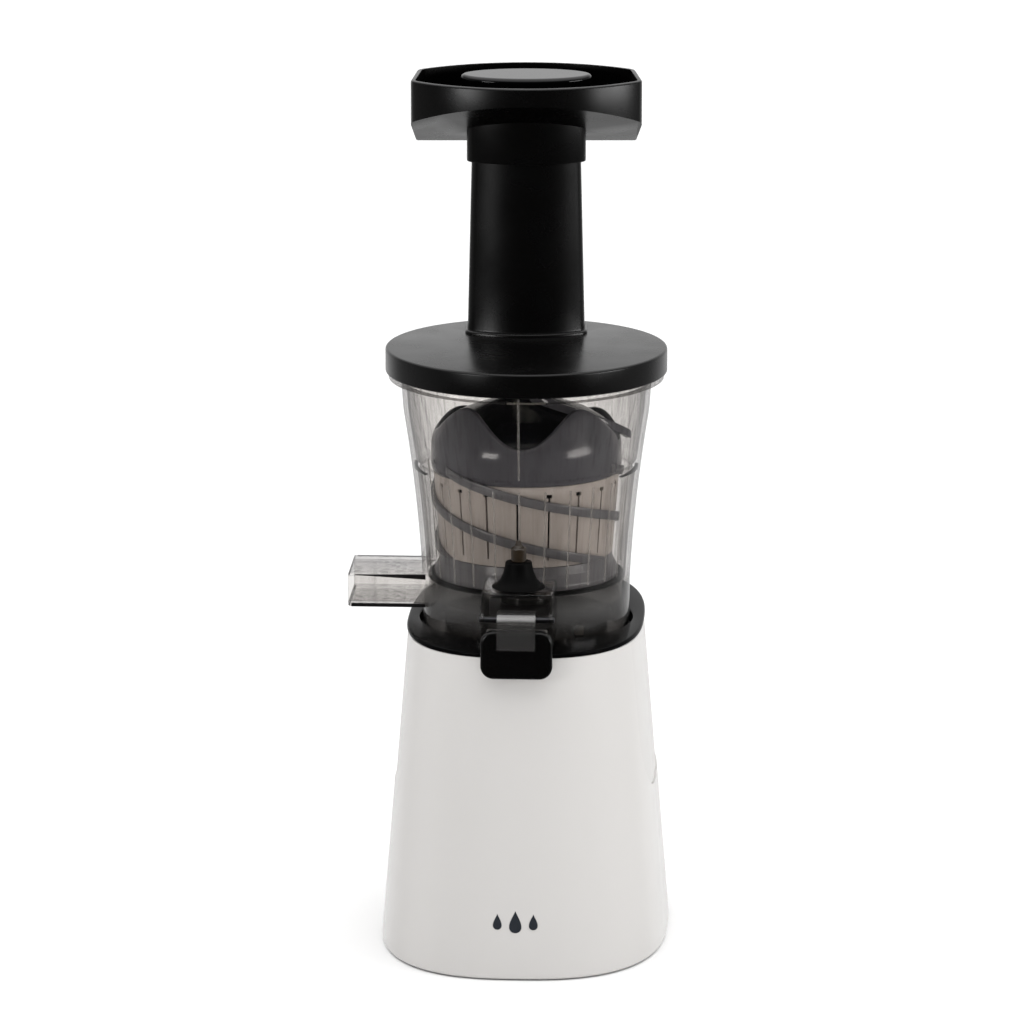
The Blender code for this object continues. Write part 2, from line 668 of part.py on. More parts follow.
def build_drum(parent, look):
    """One clear moulding: drum, pulp spout and juice duct with the ears for the cap's pin."""
    levels = (256.0, 230.0, 204.0, 180.0, 157.0)
    rim = drum_outer_radius(DRUM_RIM)
    outside = [(0, DRUM_RIM), (rim, DRUM_RIM), (drum_outer_radius(FLANGE_HIGH), FLANGE_HIGH),
               (FLANGE_RADIUS, FLANGE_HIGH), (FLANGE_RADIUS, FLANGE_LOW),
               (drum_outer_radius(FLANGE_LOW), FLANGE_LOW)]
    outside += [(drum_outer_radius(level), level) for level in levels]
    outside += [(48.0, 152.4), (45.6, 150.0), (42.0, DRUM_BOTTOM), (0, DRUM_BOTTOM)]
    drum = turned("drum", outside, look, parent)
    combine(drum, box("spout_outside", (-SPOUT_END, -SPOUT_HALF_WIDTH, SPOUT_LOW),
                      (-30, SPOUT_HALF_WIDTH, SPOUT_HIGH), None, parent), "UNION")
    combine(drum, box("duct_outside", (-DUCT_HALF_WIDTH, -DUCT_END, DUCT_LOW),
                      (DUCT_HALF_WIDTH, -30, DUCT_HIGH), None, parent), "UNION")
    for side_name, side in LEFT_AND_RIGHT.items():
        inner, outer = sorted((side * (DUCT_HALF_WIDTH - DUCT_WALL), side * DUCT_HALF_WIDTH))
        combine(drum, cylinder("pin_ear_" + side_name, 4.2, inner, outer, None, parent,
                               (0, CAP_PIVOT_Y, CAP_PIVOT_Z), (90, 0, 90)), "UNION")
    combine(drum, build_drum_cavity(parent))
    combine(drum, build_drum_hollow(parent))
    combine(drum, cylinder("drum_bore", HUB_BORE, 140, 180, None, parent))
    combine(drum, box("spout_inside", (-SPOUT_END - 5, -SPOUT_HALF_WIDTH + DUCT_WALL, DRUM_FLOOR),
                      (-41, SPOUT_HALF_WIDTH - DUCT_WALL, SPOUT_HIGH - DUCT_WALL), None, parent))
    inner_half = DUCT_HALF_WIDTH - DUCT_WALL
    combine(drum, box("duct_inside", (-inner_half, -DUCT_END - 10, DUCT_LOW + 2),
                      (inner_half, -42.5, DUCT_HIGH - DUCT_WALL), None, parent))
    combine(drum, cylinder("pin_hole", 1.7, -20, 20, None, parent,
                           (0, CAP_PIVOT_Y, CAP_PIVOT_Z), (90, 0, 90), TINY_STEPS))


def build_drum_cavity(parent):
    """The drum's inside, with a ledge round it and a step near the floor."""
    wall = 2.3
    inside = [(0, DRUM_RIM + 5), (drum_outer_radius(DRUM_RIM) - wall, DRUM_RIM + 5)]
    inside += [(drum_outer_radius(level) - wall, level) for level in (DRUM_RIM, 256, 231.5)]
    inside += [(50.6, 229.6), (50.6, 227.2), (drum_outer_radius(225.5) - wall, 225.5)]
    inside += [(drum_outer_radius(level) - wall, level) for level in (202, 180)]
    inside += [(drum_outer_radius(174) - wall, 174), (45.8, 173.0), (45.8, DRUM_FLOOR),
               (HUB_TUBE_RADIUS, DRUM_FLOOR), (HUB_TUBE_RADIUS, 167.0), (0, 167.0)]
    return turned("drum_cavity", inside, None, parent)


def build_drum_hollow(parent):
    """The space under the drum's floor, inside its foot ring and round its hub tube."""
    profile = ((0, HUB_TUBE_LOW), (HUB_TUBE_RADIUS, HUB_TUBE_LOW),
               (HUB_TUBE_RADIUS, DRUM_UNDERSIDE), (39.0, DRUM_UNDERSIDE), (39.0, 140), (0, 140))
    return turned("drum_hollow", profile, None, parent)


def build_drum_shaft_seal(parent, look):
    turned("drum_shaft_seal", ((8.4, 167.2), (9.2, 166.2), (9.2, 154.0), (6.6, 154.0),
                               (6.6, 167.2)), look, parent, steps=SMALL_STEPS)


def build_outlet_boot(parent, black, amber):
    """A flared boot on the roof of the juice duct, with a stem through its top."""
    place = (0, -64.2, 0)
    bell = [(3.2, 196.0), (6.2, 196.0), (6.6, 193.5), (7.4, 190.5), (9.0, 187.4),
            (12.8, DUCT_HIGH + GAP), (3.2, DUCT_HIGH + GAP)]
    turned("outlet_boot", bell, black, parent, place, SMALL_STEPS)
    stem = ((0, 206.0), (1.0, 205.6), (2.0, 203.4), (3.6, 202.4), (3.6, 196.3), (2.8, 196.3),
            (2.8, DUCT_HIGH + 0.6), (0, DUCT_HIGH + 0.6))
    turned("outlet_stem", stem, amber, parent, place, TINY_STEPS)


def build_juice_cap(parent, black, clear, rubber):
    """The swinging cap, with its clear lever over the pin and its plug behind."""
    low = (-CAP_HALF_WIDTH, CAP_LOW - CAP_PIVOT_Z)
    high = (CAP_HALF_WIDTH, CAP_HIGH - CAP_PIVOT_Z)
    cap = flat_piece("juice_cap", rounded_rectangle(low, high, 6.0),
                     CAP_PIVOT_Y - CAP_BACK, CAP_PIVOT_Y - CAP_FRONT, black, parent,
                     turn=(90, 0, 0))
    add_bevel(cap, 1.2)
    combine(cap, cylinder("lever_clearance", 4.3, -LEVER_HALF_WIDTH - GAP, LEVER_HALF_WIDTH + GAP,
                          None, parent, turn=(90, 0, 90)))
    strap = [(-8.3, -13.0), (-6.3, -13.0), (-6.3, -3.4)]
    strap += arc(-2.3, -1.4, 4.0, 180, 90, 4)[1:] + [(0, 2.6), (0, 4.6)]
    strap += arc(-2.3, -1.4, 6.0, 90, 180, 4) + [(-8.3, -3.4)]
    lever = flat_piece("cap_lever", strap, -LEVER_HALF_WIDTH, LEVER_HALF_WIDTH, clear, parent,
                       turn=(90, 0, 90))
    combine(lever, cylinder("lever_barrel", 4.0, -LEVER_HALF_WIDTH, LEVER_HALF_WIDTH, None, parent,
                            turn=(90, 0, 90)), "UNION")
    combine(lever, cylinder("lever_bore", 1.8, -20, 20, None, parent, turn=(90, 0, 90),
                            steps=TINY_STEPS))
    box("cap_seal", (-14.2, 0.2, -10.0), (14.2, 3.4, -5.2), rubber, parent, 0.5)


def build_cap_pin(parent, look):
    cylinder("cap_pin", 1.4, -17.6, 17.6, look, parent, (0, CAP_PIVOT_Y, CAP_PIVOT_Z),
             (90, 0, 90), TINY_STEPS)


# Auger group.

def build_auger(parent, grey, dark, mesh_look, steel):
    bottom = 168.0
    hub = cylinder("auger_hub", 12.6, bottom, 190.0, dark, parent)
    combine(hub, cylinder("hex_socket", HEX_RADIUS + 0.5, bottom - 5, 186.0, None, parent,
                          steps=6))
    turned("auger_base_ring", ((40.9, 187.0), (40.4, 180.4), (44.4, 178.8), (44.4, 176.4),
                               (12.9, 176.4), (12.9, 179.0), (38.4, 187.0)), dark, parent,
           steps=AUGER_STEPS)
    wall = 1.3
    turned("auger_strainer",
           ((STRAINER_TOP_RADIUS, STRAINER_HIGH), (STRAINER_BOTTOM_RADIUS, STRAINER_LOW),
            (STRAINER_BOTTOM_RADIUS - wall, STRAINER_LOW),
            (STRAINER_TOP_RADIUS - wall, STRAINER_HIGH)), mesh_look, parent,
           steps=AUGER_STEPS)
    screw = turned("auger_screw",
                   ((0, 270.6), (6.4, 270.6), (7.0, 263.0), *DOME_PROFILE, (SCREW_RADIUS, 230.0),
                    (44.6, 227.0), (16.0, 227.0), (16.0, 190.3), (0, 190.3)), grey, parent,
                   steps=AUGER_STEPS)
    combine(screw, build_crown(parent), "UNION")
    combine(screw, cylinder("pivot_hole", 3.3, 264.0, 275, None, parent, steps=TINY_STEPS))
    cylinder("auger_pivot_pin", 3.0, 264.3, 281.0, steel, parent, steps=TINY_STEPS)
    for number in range(FLIGHT_COUNT):
        build_flight(f"auger_flight_{number + 1}", 360 * number / FLIGHT_COUNT, parent, dark)
    wing = build_wing("auger_wing", dark, parent)
    thicken(wing, 3.0, outward=False)


def crown_height(angle):
    """The top edge of the screw's wall: low at the front, back and sides, highest in front."""
    share = 0.5 + 0.5 * math.cos(CROWN_LOBES * angle)
    return CROWN_LOW + CROWN_RISE * (1 - share) * (1 - CROWN_REAR_DROP * max(0.0, math.sin(angle)))


def build_crown(parent):
    """The lobed wall that rises from the screw's rim and leans in, split where the wing crosses it."""
    rings = []
    levels = ((0.0, CROWN_LOW - 8), (0.0, None), (CROWN_WALL, None), (CROWN_WALL, CROWN_LOW - 8))
    for inset, level in (*levels, levels[0]):
        ring = []
        for step in range(AUGER_STEPS):
            angle = 2 * math.pi * step / AUGER_STEPS
            height = crown_height(angle) if level is None else level
            lean = CROWN_SLOPE * max(height - DOME_PROFILE[-1][1], 0.0)
            radius = SCREW_RADIUS - 0.1 - lean - inset
            ring.append((radius * math.cos(angle), radius * math.sin(angle), height))
        rings.append(ring)
    crown = loft("auger_crown", rings, None, parent, capped=False)
    weld = crown.modifiers.new("Close", "WELD")
    weld.merge_threshold = MERGE
    gap = build_wing("wing_clearance", None, parent, drop=6.0, lift=10.0)
    thicken(gap, 3.0 + 2 * GAP, outward=False)
    combine(crown, gap)
    return crown


def auger_radius(height):
    """The auger's outer surface: the strainer's cone, then the upright band of the screw."""
    share = (height - STRAINER_LOW) / (STRAINER_HIGH - STRAINER_LOW)
    cone = STRAINER_BOTTOM_RADIUS + (STRAINER_TOP_RADIUS - STRAINER_BOTTOM_RADIUS) * share
    blend = min(max((height - 226.0) / 4.0, 0.0), 1.0)
    return cone + (SCREW_RADIUS - cone) * blend


def build_flight(name, start_deg, parent, look):
    """A spiral band that stands off the auger's surface and falls to the right, seen from outside."""
    low, high = STRAINER_LOW + 1.0, 230.0
    steps = 16
    rows = []
    for step in range(steps + 1):
        bottom = high - FLIGHT_HEIGHT - (high - low - FLIGHT_HEIGHT) * step / steps
        turns_from_front = (FLIGHT_TOP_AT_FRONT - bottom - FLIGHT_HEIGHT) / FLIGHT_LEAD
        angle = math.radians(start_deg - 90 + 360 * turns_from_front)
        row = []
        for height in (bottom, bottom + FLIGHT_HEIGHT / 2, bottom + FLIGHT_HEIGHT):
            radius = auger_radius(height) + 0.5
            row.append((radius * math.cos(angle), radius * math.sin(angle), height))
        rows.append(row)
    thicken(strip(name, rows, look, parent), 1.7, outward=True)


def build_wing(name, look, parent, drop=0.0, lift=0.0):
    """A curved blade on the dome that sweeps food from the middle out to the wall.

    As a cutter it also reaches below the blade's foot by drop and above its top by lift.
    """
    steps = 12
    rows = []
    for step in range(steps + 1):
        share = step / steps
        radius = WING_INNER + (WING_OUTER - WING_INNER) * share
        angle = math.radians(WING_START_DEG + WING_SWEEP_DEG * share)
        foot = dome_height(radius - 1.6) + 0.6
        crown = max(foot + 2.0, WING_TOP - WING_DROP * share ** 1.3)
        rows.append([(radius * math.cos(angle), radius * math.sin(angle), height)
                     for height in (foot - drop, crown + lift)])
    return strip(name, rows, look, parent)


def dome_height(radius):
    """The height of the dome's surface at a radius, level past its outer edge."""
    for (inner, high), (outer, low) in zip(DOME_PROFILE, DOME_PROFILE[1:]):
        if inner <= radius <= outer:
            return high + (low - high) * (radius - inner) / (outer - inner)
    return DOME_PROFILE[0][1] if radius < DOME_PROFILE[0][0] else DOME_PROFILE[-1][1]


def thicken(item, thickness, outward):
    wall = item.modifiers.new("Thickness", "SOLIDIFY")
    wall.thickness = thickness * MM
    wall.offset = 1.0 if outward else 0.0


# Lid group.

def chute_outline(scale, inset):
    """The chute's plan: a round front, straight sides and a back that follows the drum."""
    half_width = CHUTE_HALF_WIDTH_LOW * scale - inset
    front_radius = CHUTE_FRONT_RADIUS * scale - inset
    front_centre = CHUTE_MIDDLE_Y + (CHUTE_FRONT_CENTRE - CHUTE_MIDDLE_Y) * scale
    rear_radius = CHUTE_REAR_RADIUS * scale - inset
    rear_centre = CHUTE_MIDDLE_Y - CHUTE_MIDDLE_Y * scale
    front_turn = math.degrees(math.asin(half_width / front_radius))
    rear_turn = math.degrees(math.asin(half_width / rear_radius))
    return (arc(0, front_centre, front_radius, 270 - front_turn, 270 + front_turn, 12)
            + arc(0, rear_centre, rear_radius, 90 - rear_turn, 90 + rear_turn, 6))


def chute_ring(height, inset):
    share = (height - LID_HIGH) / (CHUTE_TOP - LID_HIGH)
    narrowing = 1 - CHUTE_HALF_WIDTH_HIGH / CHUTE_HALF_WIDTH_LOW
    return [(across, along, height) for across, along in chute_outline(1 - narrowing * share, inset)]


def build_lid(parent, look):
    profile = ((0, LID_HIGH), (LID_RADIUS - 1.2, LID_HIGH), (LID_RADIUS - 0.3, LID_HIGH - 0.4),
               (LID_RADIUS, LID_HIGH - 1.2), (LID_RADIUS, LID_LOW + 0.6),
               (LID_RADIUS - 0.5, LID_LOW), (LID_RADIUS - 2.4, LID_LOW),
               (LID_RADIUS - 2.4, LID_UNDERSIDE), (0, LID_UNDERSIDE))
    lid = turned("lid", profile, look, parent)
    chute = loft("chute_outside", [chute_ring(level, 0.0) for level in (LID_UNDERSIDE + 1, CHUTE_TOP)],
                 None, parent)
    combine(lid, chute, "UNION")
    foot = [(across, along) for across, along, _ in chute_ring(LID_HIGH, -1.2)]
    combine(lid, flat_piece("chute_foot", foot, LID_UNDERSIDE + 1.2, LID_HIGH + 1.6, None, parent),
            "UNION")
    levels = (LID_UNDERSIDE - 10, CHUTE_TOP + 5)
    combine(lid, loft("chute_inside", [chute_ring(level, CHUTE_WALL) for level in levels], None,
                      parent))


def build_lid_gasket(parent, look):
    outer = drum_outer_radius(DRUM_RIM)
    turned("lid_gasket", ((outer, LID_UNDERSIDE - GAP), (outer, DRUM_RIM + GAP),
                          (outer - 2.2, DRUM_RIM + GAP), (outer - 2.2, LID_UNDERSIDE - GAP)),
           look, parent, steps=AUGER_STEPS)


def build_lid_bush(parent, look):
    turned("lid_bush", ((9.0, LID_UNDERSIDE - GAP), (9.0, 273.0), (7.6, 271.4), (3.4, 271.4),
                        (3.4, LID_UNDERSIDE - GAP)), look, parent, steps=SMALL_STEPS)


def tray_outline(inset):
    """The tray's plan: two wide arcs, front and back, joined by straight sides."""
    radius = TRAY_ARC_RADIUS - inset
    front_turn = math.degrees(math.asin((TRAY_FRONT_HALF_WIDTH - inset) / radius))
    back_turn = math.degrees(math.asin((TRAY_BACK_HALF_WIDTH - inset) / radius))
    front_centre = TRAY_FRONT_Y + TRAY_ARC_RADIUS
    back_centre = TRAY_BACK_Y - TRAY_ARC_RADIUS
    return (arc(0, front_centre, radius, 270 - front_turn, 270 + front_turn, 14)
            + arc(0, back_centre, radius, 90 - back_turn, 90 + back_turn, 12))


def slope_wedge(name, lift, parent):
    """The space under the tray's sloping floor, raised by lift, for cutting the slope."""
    rise = math.tan(math.radians(TRAY_SLOPE_DEG))
    start = TRAY_SLOPE_START_Y
    outline = [(start, TRAY_BOTTOM + lift - 20), (start, TRAY_BOTTOM + lift),
               (start - 70, TRAY_BOTTOM + lift + 70 * rise), (start - 70, TRAY_BOTTOM + lift - 20)]
    return flat_piece(name, outline, -70, 70, None, parent, turn=(90, 0, 90))


def throat_outline(outer):
    scale = (CHUTE_HALF_WIDTH_HIGH + 0.3) / CHUTE_HALF_WIDTH_LOW
    return chute_outline(scale, CHUTE_HALF_WIDTH_HIGH + 0.3 - THROAT_HALF_WIDTH if outer else -0.5)


def build_hopper_tray(parent, look):
    tray = flat_piece("hopper_tray", tray_outline(0.0), TRAY_BOTTOM, TRAY_RIM, look, parent)
    combine(tray, slope_wedge("slope_outside", 0.0, parent))
    combine(tray, flat_piece("throat_outside", throat_outline(True), THROAT_LOW,
                             TRAY_BOTTOM + THROAT_RISE, None, parent), "UNION")
    room = flat_piece("tray_room", tray_outline(TRAY_WALL), TRAY_BOTTOM + TRAY_WALL, TRAY_RIM + 10,
                      None, parent)
    combine(room, slope_wedge("slope_inside", TRAY_WALL + 0.3, parent))
    combine(tray, room)
    combine(tray, flat_piece("throat_inside", throat_outline(False), THROAT_LOW - 5,
                             CHUTE_TOP + GAP, None, parent))
    mouth = [(across, along) for across, along, _ in chute_ring(CHUTE_TOP, CHUTE_WALL)]
    combine(tray, flat_piece("tray_mouth", mouth, THROAT_LOW - 5, TRAY_RIM + 10, None, parent))


def build_pusher(parent, look, cap_look):
    narrow = PUSHER_HALF_WIDTH / (CHUTE_HALF_WIDTH_LOW - CHUTE_WALL)
    outside = [(across * narrow, CHUTE_MIDDLE_Y + (along - CHUTE_MIDDLE_Y) * narrow)
               for across, along in chute_outline(1.0, CHUTE_WALL)]
    inside = [(across * 0.88, CHUTE_MIDDLE_Y + (along - CHUTE_MIDDLE_Y) * 0.82)
              for across, along in outside]
    body = flat_piece("pusher_body", outside, PUSHER_LOW, PUSHER_HIGH, look, parent)
    combine(body, flat_piece("pusher_hollow", inside, PUSHER_LOW + 3, PUSHER_HIGH + 5, None,
                             parent))
    oval = [(31.4 * math.cos(angle), 43.0 + 16.8 * math.sin(angle))
            for angle in (2 * math.pi * index / 32 for index in range(32))]
    cap = flat_piece("pusher_cap", oval, PUSHER_HIGH + GAP, PUSHER_CAP_TOP, cap_look, parent)
    add_bevel(cap, 1.2, 1)


clear_scene()
PARTS = new_collection(OBJECT_NAME)
CUTTERS = new_collection("cutters")
FRAMES = new_collection("frames")


def build_juicer():
    white = new_material("white_plastic", (0.80, 0.79, 0.77), 0.18)
    panel_white = new_material("panel_plastic", (0.77, 0.76, 0.74), 0.22)
    black = new_material("black_plastic", (0.012, 0.012, 0.014), 0.32)
    gloss_black = new_material("gloss_black", (0.01, 0.01, 0.012), 0.12)
    smoke = new_material("smoky_clear", (0.45, 0.42, 0.42), 0.06, transmission=1.0)
    rubber = new_material("black_rubber", (0.02, 0.02, 0.02), 0.7)
    silicone = new_material("grey_silicone", (0.35, 0.33, 0.31), 0.55)
    steel = new_material("steel", (0.6, 0.6, 0.62), 0.3, metallic=1.0)
    aluminium = new_material("aluminium", (0.72, 0.72, 0.74), 0.4, metallic=1.0)
    iron = new_material("iron", (0.25, 0.25, 0.27), 0.5, metallic=1.0)
    copper = new_material("copper", (0.72, 0.35, 0.18), 0.35, metallic=1.0)
    nylon = new_material("nylon", (0.75, 0.72, 0.62), 0.45)
    board = new_material("circuit_board", (0.03, 0.16, 0.07), 0.5)
    auger_grey = new_material("auger_grey", (0.10, 0.10, 0.11), 0.35)
    auger_dark = new_material("auger_dark", (0.05, 0.05, 0.055), 0.4)
    strainer = new_material("strainer_beige", (0.50, 0.44, 0.39), 0.4)
    amber = new_material("amber_plastic", (0.22, 0.12, 0.05), 0.35)

    machine = new_frame("machine_axis", place=(AXIS_X, AXIS_Y, 0))
    build_housing(machine, white)
    build_side_panels(machine, panel_white)
    build_top_plate(machine, gloss_black)
    build_bottom_cover(machine, black)
    build_feet(machine, rubber)
    build_cover_screws(machine, steel)
    build_motor_frame(machine, aluminium, iron, copper)
    build_gearbox(machine, black, steel)
    build_shaft_lip_seal(machine, rubber)
    build_control_board(machine, board)
    build_switch(machine, black, gloss_black)
    build_cord_gland(machine, rubber)
    build_interlock(machine, nylon, steel)
    build_rotor(new_frame("rotor_axis", machine), iron, steel, nylon)
    build_idler(new_frame("idler_axis", machine, (0, IDLER_DISTANCE, 0)), steel, nylon)
    build_output(new_frame("output_axis", machine), steel, nylon)

    drum = new_frame("drum_axis", machine)
    build_drum(drum, smoke)
    build_drum_shaft_seal(drum, silicone)
    build_outlet_boot(drum, rubber, amber)
    build_cap_pin(drum, steel)
    build_juice_cap(new_frame("cap_axis", drum, (0, CAP_PIVOT_Y, CAP_PIVOT_Z)), black, smoke, silicone)
    build_auger(new_frame("auger_axis", drum), auger_grey, auger_dark, strainer, steel)

    lid = new_frame("lid_axis", drum, turn_z=LID_TURN_DEG)
    build_lid(lid, black)
    build_lid_gasket(lid, silicone)
    build_lid_bush(lid, nylon)
    build_hopper_tray(lid, black)
    build_pusher(lid, black, gloss_black)


build_juicer()
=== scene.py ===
"""Looks of an upright slow juicer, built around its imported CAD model.

Shapes are written in millimetres from the upright axis that the drum, the auger and the drive share,
with +Z up and the front facing -Y. make() turns them into the frame's metres.
"""

import math

import bmesh
import bpy
from mathutils import Matrix, Vector


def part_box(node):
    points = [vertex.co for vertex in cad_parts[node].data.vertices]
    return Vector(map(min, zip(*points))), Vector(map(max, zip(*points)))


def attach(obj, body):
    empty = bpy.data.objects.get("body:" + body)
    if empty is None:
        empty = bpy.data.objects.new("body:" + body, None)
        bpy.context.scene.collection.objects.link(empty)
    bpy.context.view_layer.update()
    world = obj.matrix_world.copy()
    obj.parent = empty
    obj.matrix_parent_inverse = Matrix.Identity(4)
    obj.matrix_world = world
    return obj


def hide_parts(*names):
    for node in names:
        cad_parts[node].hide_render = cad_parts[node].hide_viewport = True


MM = 0.001
GAP = 0.3

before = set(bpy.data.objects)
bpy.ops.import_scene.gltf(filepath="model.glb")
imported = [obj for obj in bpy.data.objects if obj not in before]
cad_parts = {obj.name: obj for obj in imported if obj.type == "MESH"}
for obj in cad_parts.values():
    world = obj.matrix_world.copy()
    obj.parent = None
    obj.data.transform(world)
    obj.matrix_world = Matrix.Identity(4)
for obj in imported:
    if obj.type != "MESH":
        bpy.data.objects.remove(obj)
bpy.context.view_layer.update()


def middle(node):
    low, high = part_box(node)
    return (low + high) / 2


AXIS = middle("drum_shaft_seal")
ABOUT_AXIS = Matrix.Translation((AXIS.x, AXIS.y, 0.0)) @ Matrix.Scale(MM, 4)
LID_TURN_DEG = 3.3
ABOUT_LID = ABOUT_AXIS @ Matrix.Rotation(math.radians(LID_TURN_DEG), 4, "Z")

# Base.
BASE_POINTS = 240
BASE_BOTTOM, BASE_TOP = 0.6, 152.0
BASE_HALF_WIDTH_TOP, BASE_FLARE = 56.5, 12.3
BASE_FRONT_BOTTOM, BASE_FRONT_TOP = 95.5, 77.0
BASE_REAR_BOTTOM, BASE_REAR_TOP = 104.0, 99.0
BASE_ROUNDNESS = 2.6
BASE_WALL = 3.0
SEAM_Y = 12.0
PANEL_FRONT, PANEL_REAR, PANEL_BOTTOM, PANEL_CORNER = -41.0, 60.0, 76.5, 27.0
PANEL_INSET, PANEL_THICKNESS = 0.6, 1.2
PLATE_TOP, PLATE_LOW, WELL_FLOOR, WELL_RADIUS = 154.2, 146.0, 148.6, 51.0
SWITCH_MIDDLE = 61.0
GLAND_HEIGHT = 18.0
MARK_HEIGHT = 28.0

# Drum.
DRUM_BOTTOM, DRUM_FLOOR, DRUM_UNDERSIDE, DRUM_RIM = 149.0, 164.2, 161.8, 281.2
DRUM_FLARE_START, DRUM_FLARE_END = 172.0, 256.0
FLANGE_RADIUS, FLANGE_LOW, FLANGE_HIGH = 65.6, 271.2, 274.0
DRUM_WALL = 2.3
DUCT_WALL = 1.8
SPOUT_END, SPOUT_HALF_WIDTH, SPOUT_LOW, SPOUT_HIGH = 84.0, 20.0, 161.9, 178.4
DUCT_END, DUCT_HALF_WIDTH, DUCT_LOW, DUCT_HIGH = 79.5, 17.0, 158.0, 183.5
RIB_COUNT, RIB_BULGE, RIB_STEPS, FIRST_RIB_DEG = 26, 0.55, 14, -90.6
RIB_SPAN, TALL_RIB_SPAN = (178.0, 226.0), (232.0, 272.0)
PIVOT = (-80.0, 171.5)
BOOT_Y = -64.2

# Auger.
SLIT_COUNT, SLIT_CELLS = 18, 16
FIRST_SLIT_DEG = -73.1
STRAINER_LOW, STRAINER_HIGH = 187.3, 226.7
STRAINER_BOTTOM_RADIUS, STRAINER_TOP_RADIUS = 41.2, 44.4
SCREW_RADIUS = 45.4
SCREW_SHOULDER = 241.0
SHOULDER_BEND = 7.0
CROWN_LOW, CROWN_RISE, CROWN_LOBES, CROWN_SLOPE = 245.0, 16.0, 4, 0.37
CROWN_REAR_DROP = 0.95
WALL_LOW, WALL_UPRIGHT = 227.0, 236.0
WING_INNER, WING_SPAN, WING_START_DEG, WING_SWEEP_DEG = 10.0, 38.5, -70.0, 75.0
FLIGHT_LEAD, FLIGHT_HEIGHT, FLIGHT_TOP_AT_FRONT = 68.0, 4.5, 222.8
FLIGHT_HIGH, FLIGHT_LOW, FLIGHT_THICKNESS, FLIGHT_STAND_OFF = 233.0, 187.5, 1.5, 0.5

# Lid, chute, hopper tray and pusher.
LID_RADIUS, LID_LOW, LID_HIGH, LID_UNDERSIDE = 67.0, 274.3, 285.9, 283.3
CHUTE_HALF_WIDTH_LOW, CHUTE_HALF_WIDTH_HIGH, CHUTE_TOP = 28.1, 25.8, 384.0
CHUTE_MIDDLE_Y, CHUTE_FRONT_RADIUS, CHUTE_FRONT_CENTRE, CHUTE_REAR_RADIUS = 43.0, 50.0, 70.1, 58.5
CHUTE_WALL = 2.4
TRAY_BOTTOM, TRAY_RIM, TRAY_WALL, TRAY_ARC = 376.4, 410.0, 2.2, 75.0
TRAY_FRONT_Y, TRAY_BACK_Y, TRAY_FRONT_HALF, TRAY_BACK_HALF = -4.7, 75.0, 55.2, 52.0
SLOPE_START_Y, SLOPE_DEG = 48.0, 25.4
CAP_TOP = 409.6
THROAT_LOW, THROAT_RISE, THROAT_HALF = 369.4, 17.0, 28.4

# Studio. Each lamp has its place to the right of the front and above in degrees, its size in metres
# and its power.
WORLD_FRONT, WORLD_SIDES, WORLD_BACK, WORLD_TOP = 0.03, 0.32, 0.85, 1.7
FLOOR_RADIUS = 30.0
LAMP_DISTANCE, LAMP_AIM = 1.5, 0.24
CAMERA_RIGHT_DEG, CAMERA_UP_DEG, CAMERA_DISTANCE, CAMERA_LENS = 3.3, 13.05, 3.4, 249.9
CAMERA_AIM, CAMERA_SLIDE = 0.2, (-0.0066, 0.0045)
LAMPS = [("left_front", -41.0, 9.0, 0.45, 0.3, 5.0), ("right_side", 70.0, 9.0, 0.8, 0.35, 8.0)]


# Shapes: each returns points in millimetres and the faces between them.

def grid(rows, close_rows=False):
    """Joins each row of points to the next, and round on itself."""
    count = len(rows[0])
    faces = []
    for row in range(len(rows) if close_rows else len(rows) - 1):
        here, there = row * count, (row + 1) % len(rows) * count
        for column in range(count):
            beside = (column + 1) % count
            faces.append((here + column, here + beside, there + beside, there + column))
    return [point for row in rows for point in row], faces


def capped(rows):
    points, faces = grid(rows)
    count = len(rows[0])
    faces.append(tuple(reversed(range(count))))
    faces.append(tuple(range(len(points) - count, len(points))))
    return points, faces


def spaced(start, stop, steps):
    return [start + (stop - start) * step / steps for step in range(steps + 1)]


def polar(radius, angle, height):
    return (radius * math.cos(angle), radius * math.sin(angle), height)


def circle_row(radius, height, steps):
    return [(*point, height) for point in arc(0, 0, radius, 0, 360, steps)[:-1]]


def lathe(profile, steps=160):
    """Turns (radius, height) points about Z. A profile that starts off the axis is a closed ring."""
    rows = [circle_row(radius, height, steps) for radius, height in profile]
    return grid(rows, close_rows=profile[0][0] > 0)


def rounded(corners, steps=5):
    """An outline in which each corner that has a third number is an arc of that radius."""
    points = []
    for index, corner in enumerate(corners):
        here = Vector(corner[:2])
        if len(corner) < 3:
            points.append(tuple(here))
            continue
        before = (Vector(corners[index - 1][:2]) - here).normalized()
        after = (Vector(corners[(index + 1) % len(corners)][:2]) - here).normalized()
        half = before.angle(after) / 2
        centre = here + (before + after).normalized() * corner[2] / math.sin(half)
        reach = corner[2] / math.tan(half)
        start, end = here + before * reach - centre, here + after * reach - centre
        sweep = math.pi - 2 * half
        for share in spaced(0.0, sweep, steps):
            blend = start * math.sin(sweep - share) + end * math.sin(share)
            points.append(tuple(centre + blend / math.sin(sweep)))
    return points


def arc(centre_x, centre_y, radius, start_deg, end_deg, steps):
    angles = [math.radians(turn) for turn in spaced(start_deg, end_deg, steps)]
    return [(centre_x + radius * math.cos(angle), centre_y + radius * math.sin(angle))
            for angle in angles]


def rectangle(low, high, corner, steps=6):
    return rounded([(high[0], high[1], corner), (low[0], high[1], corner),
                    (low[0], low[1], corner), (high[0], low[1], corner)], steps)


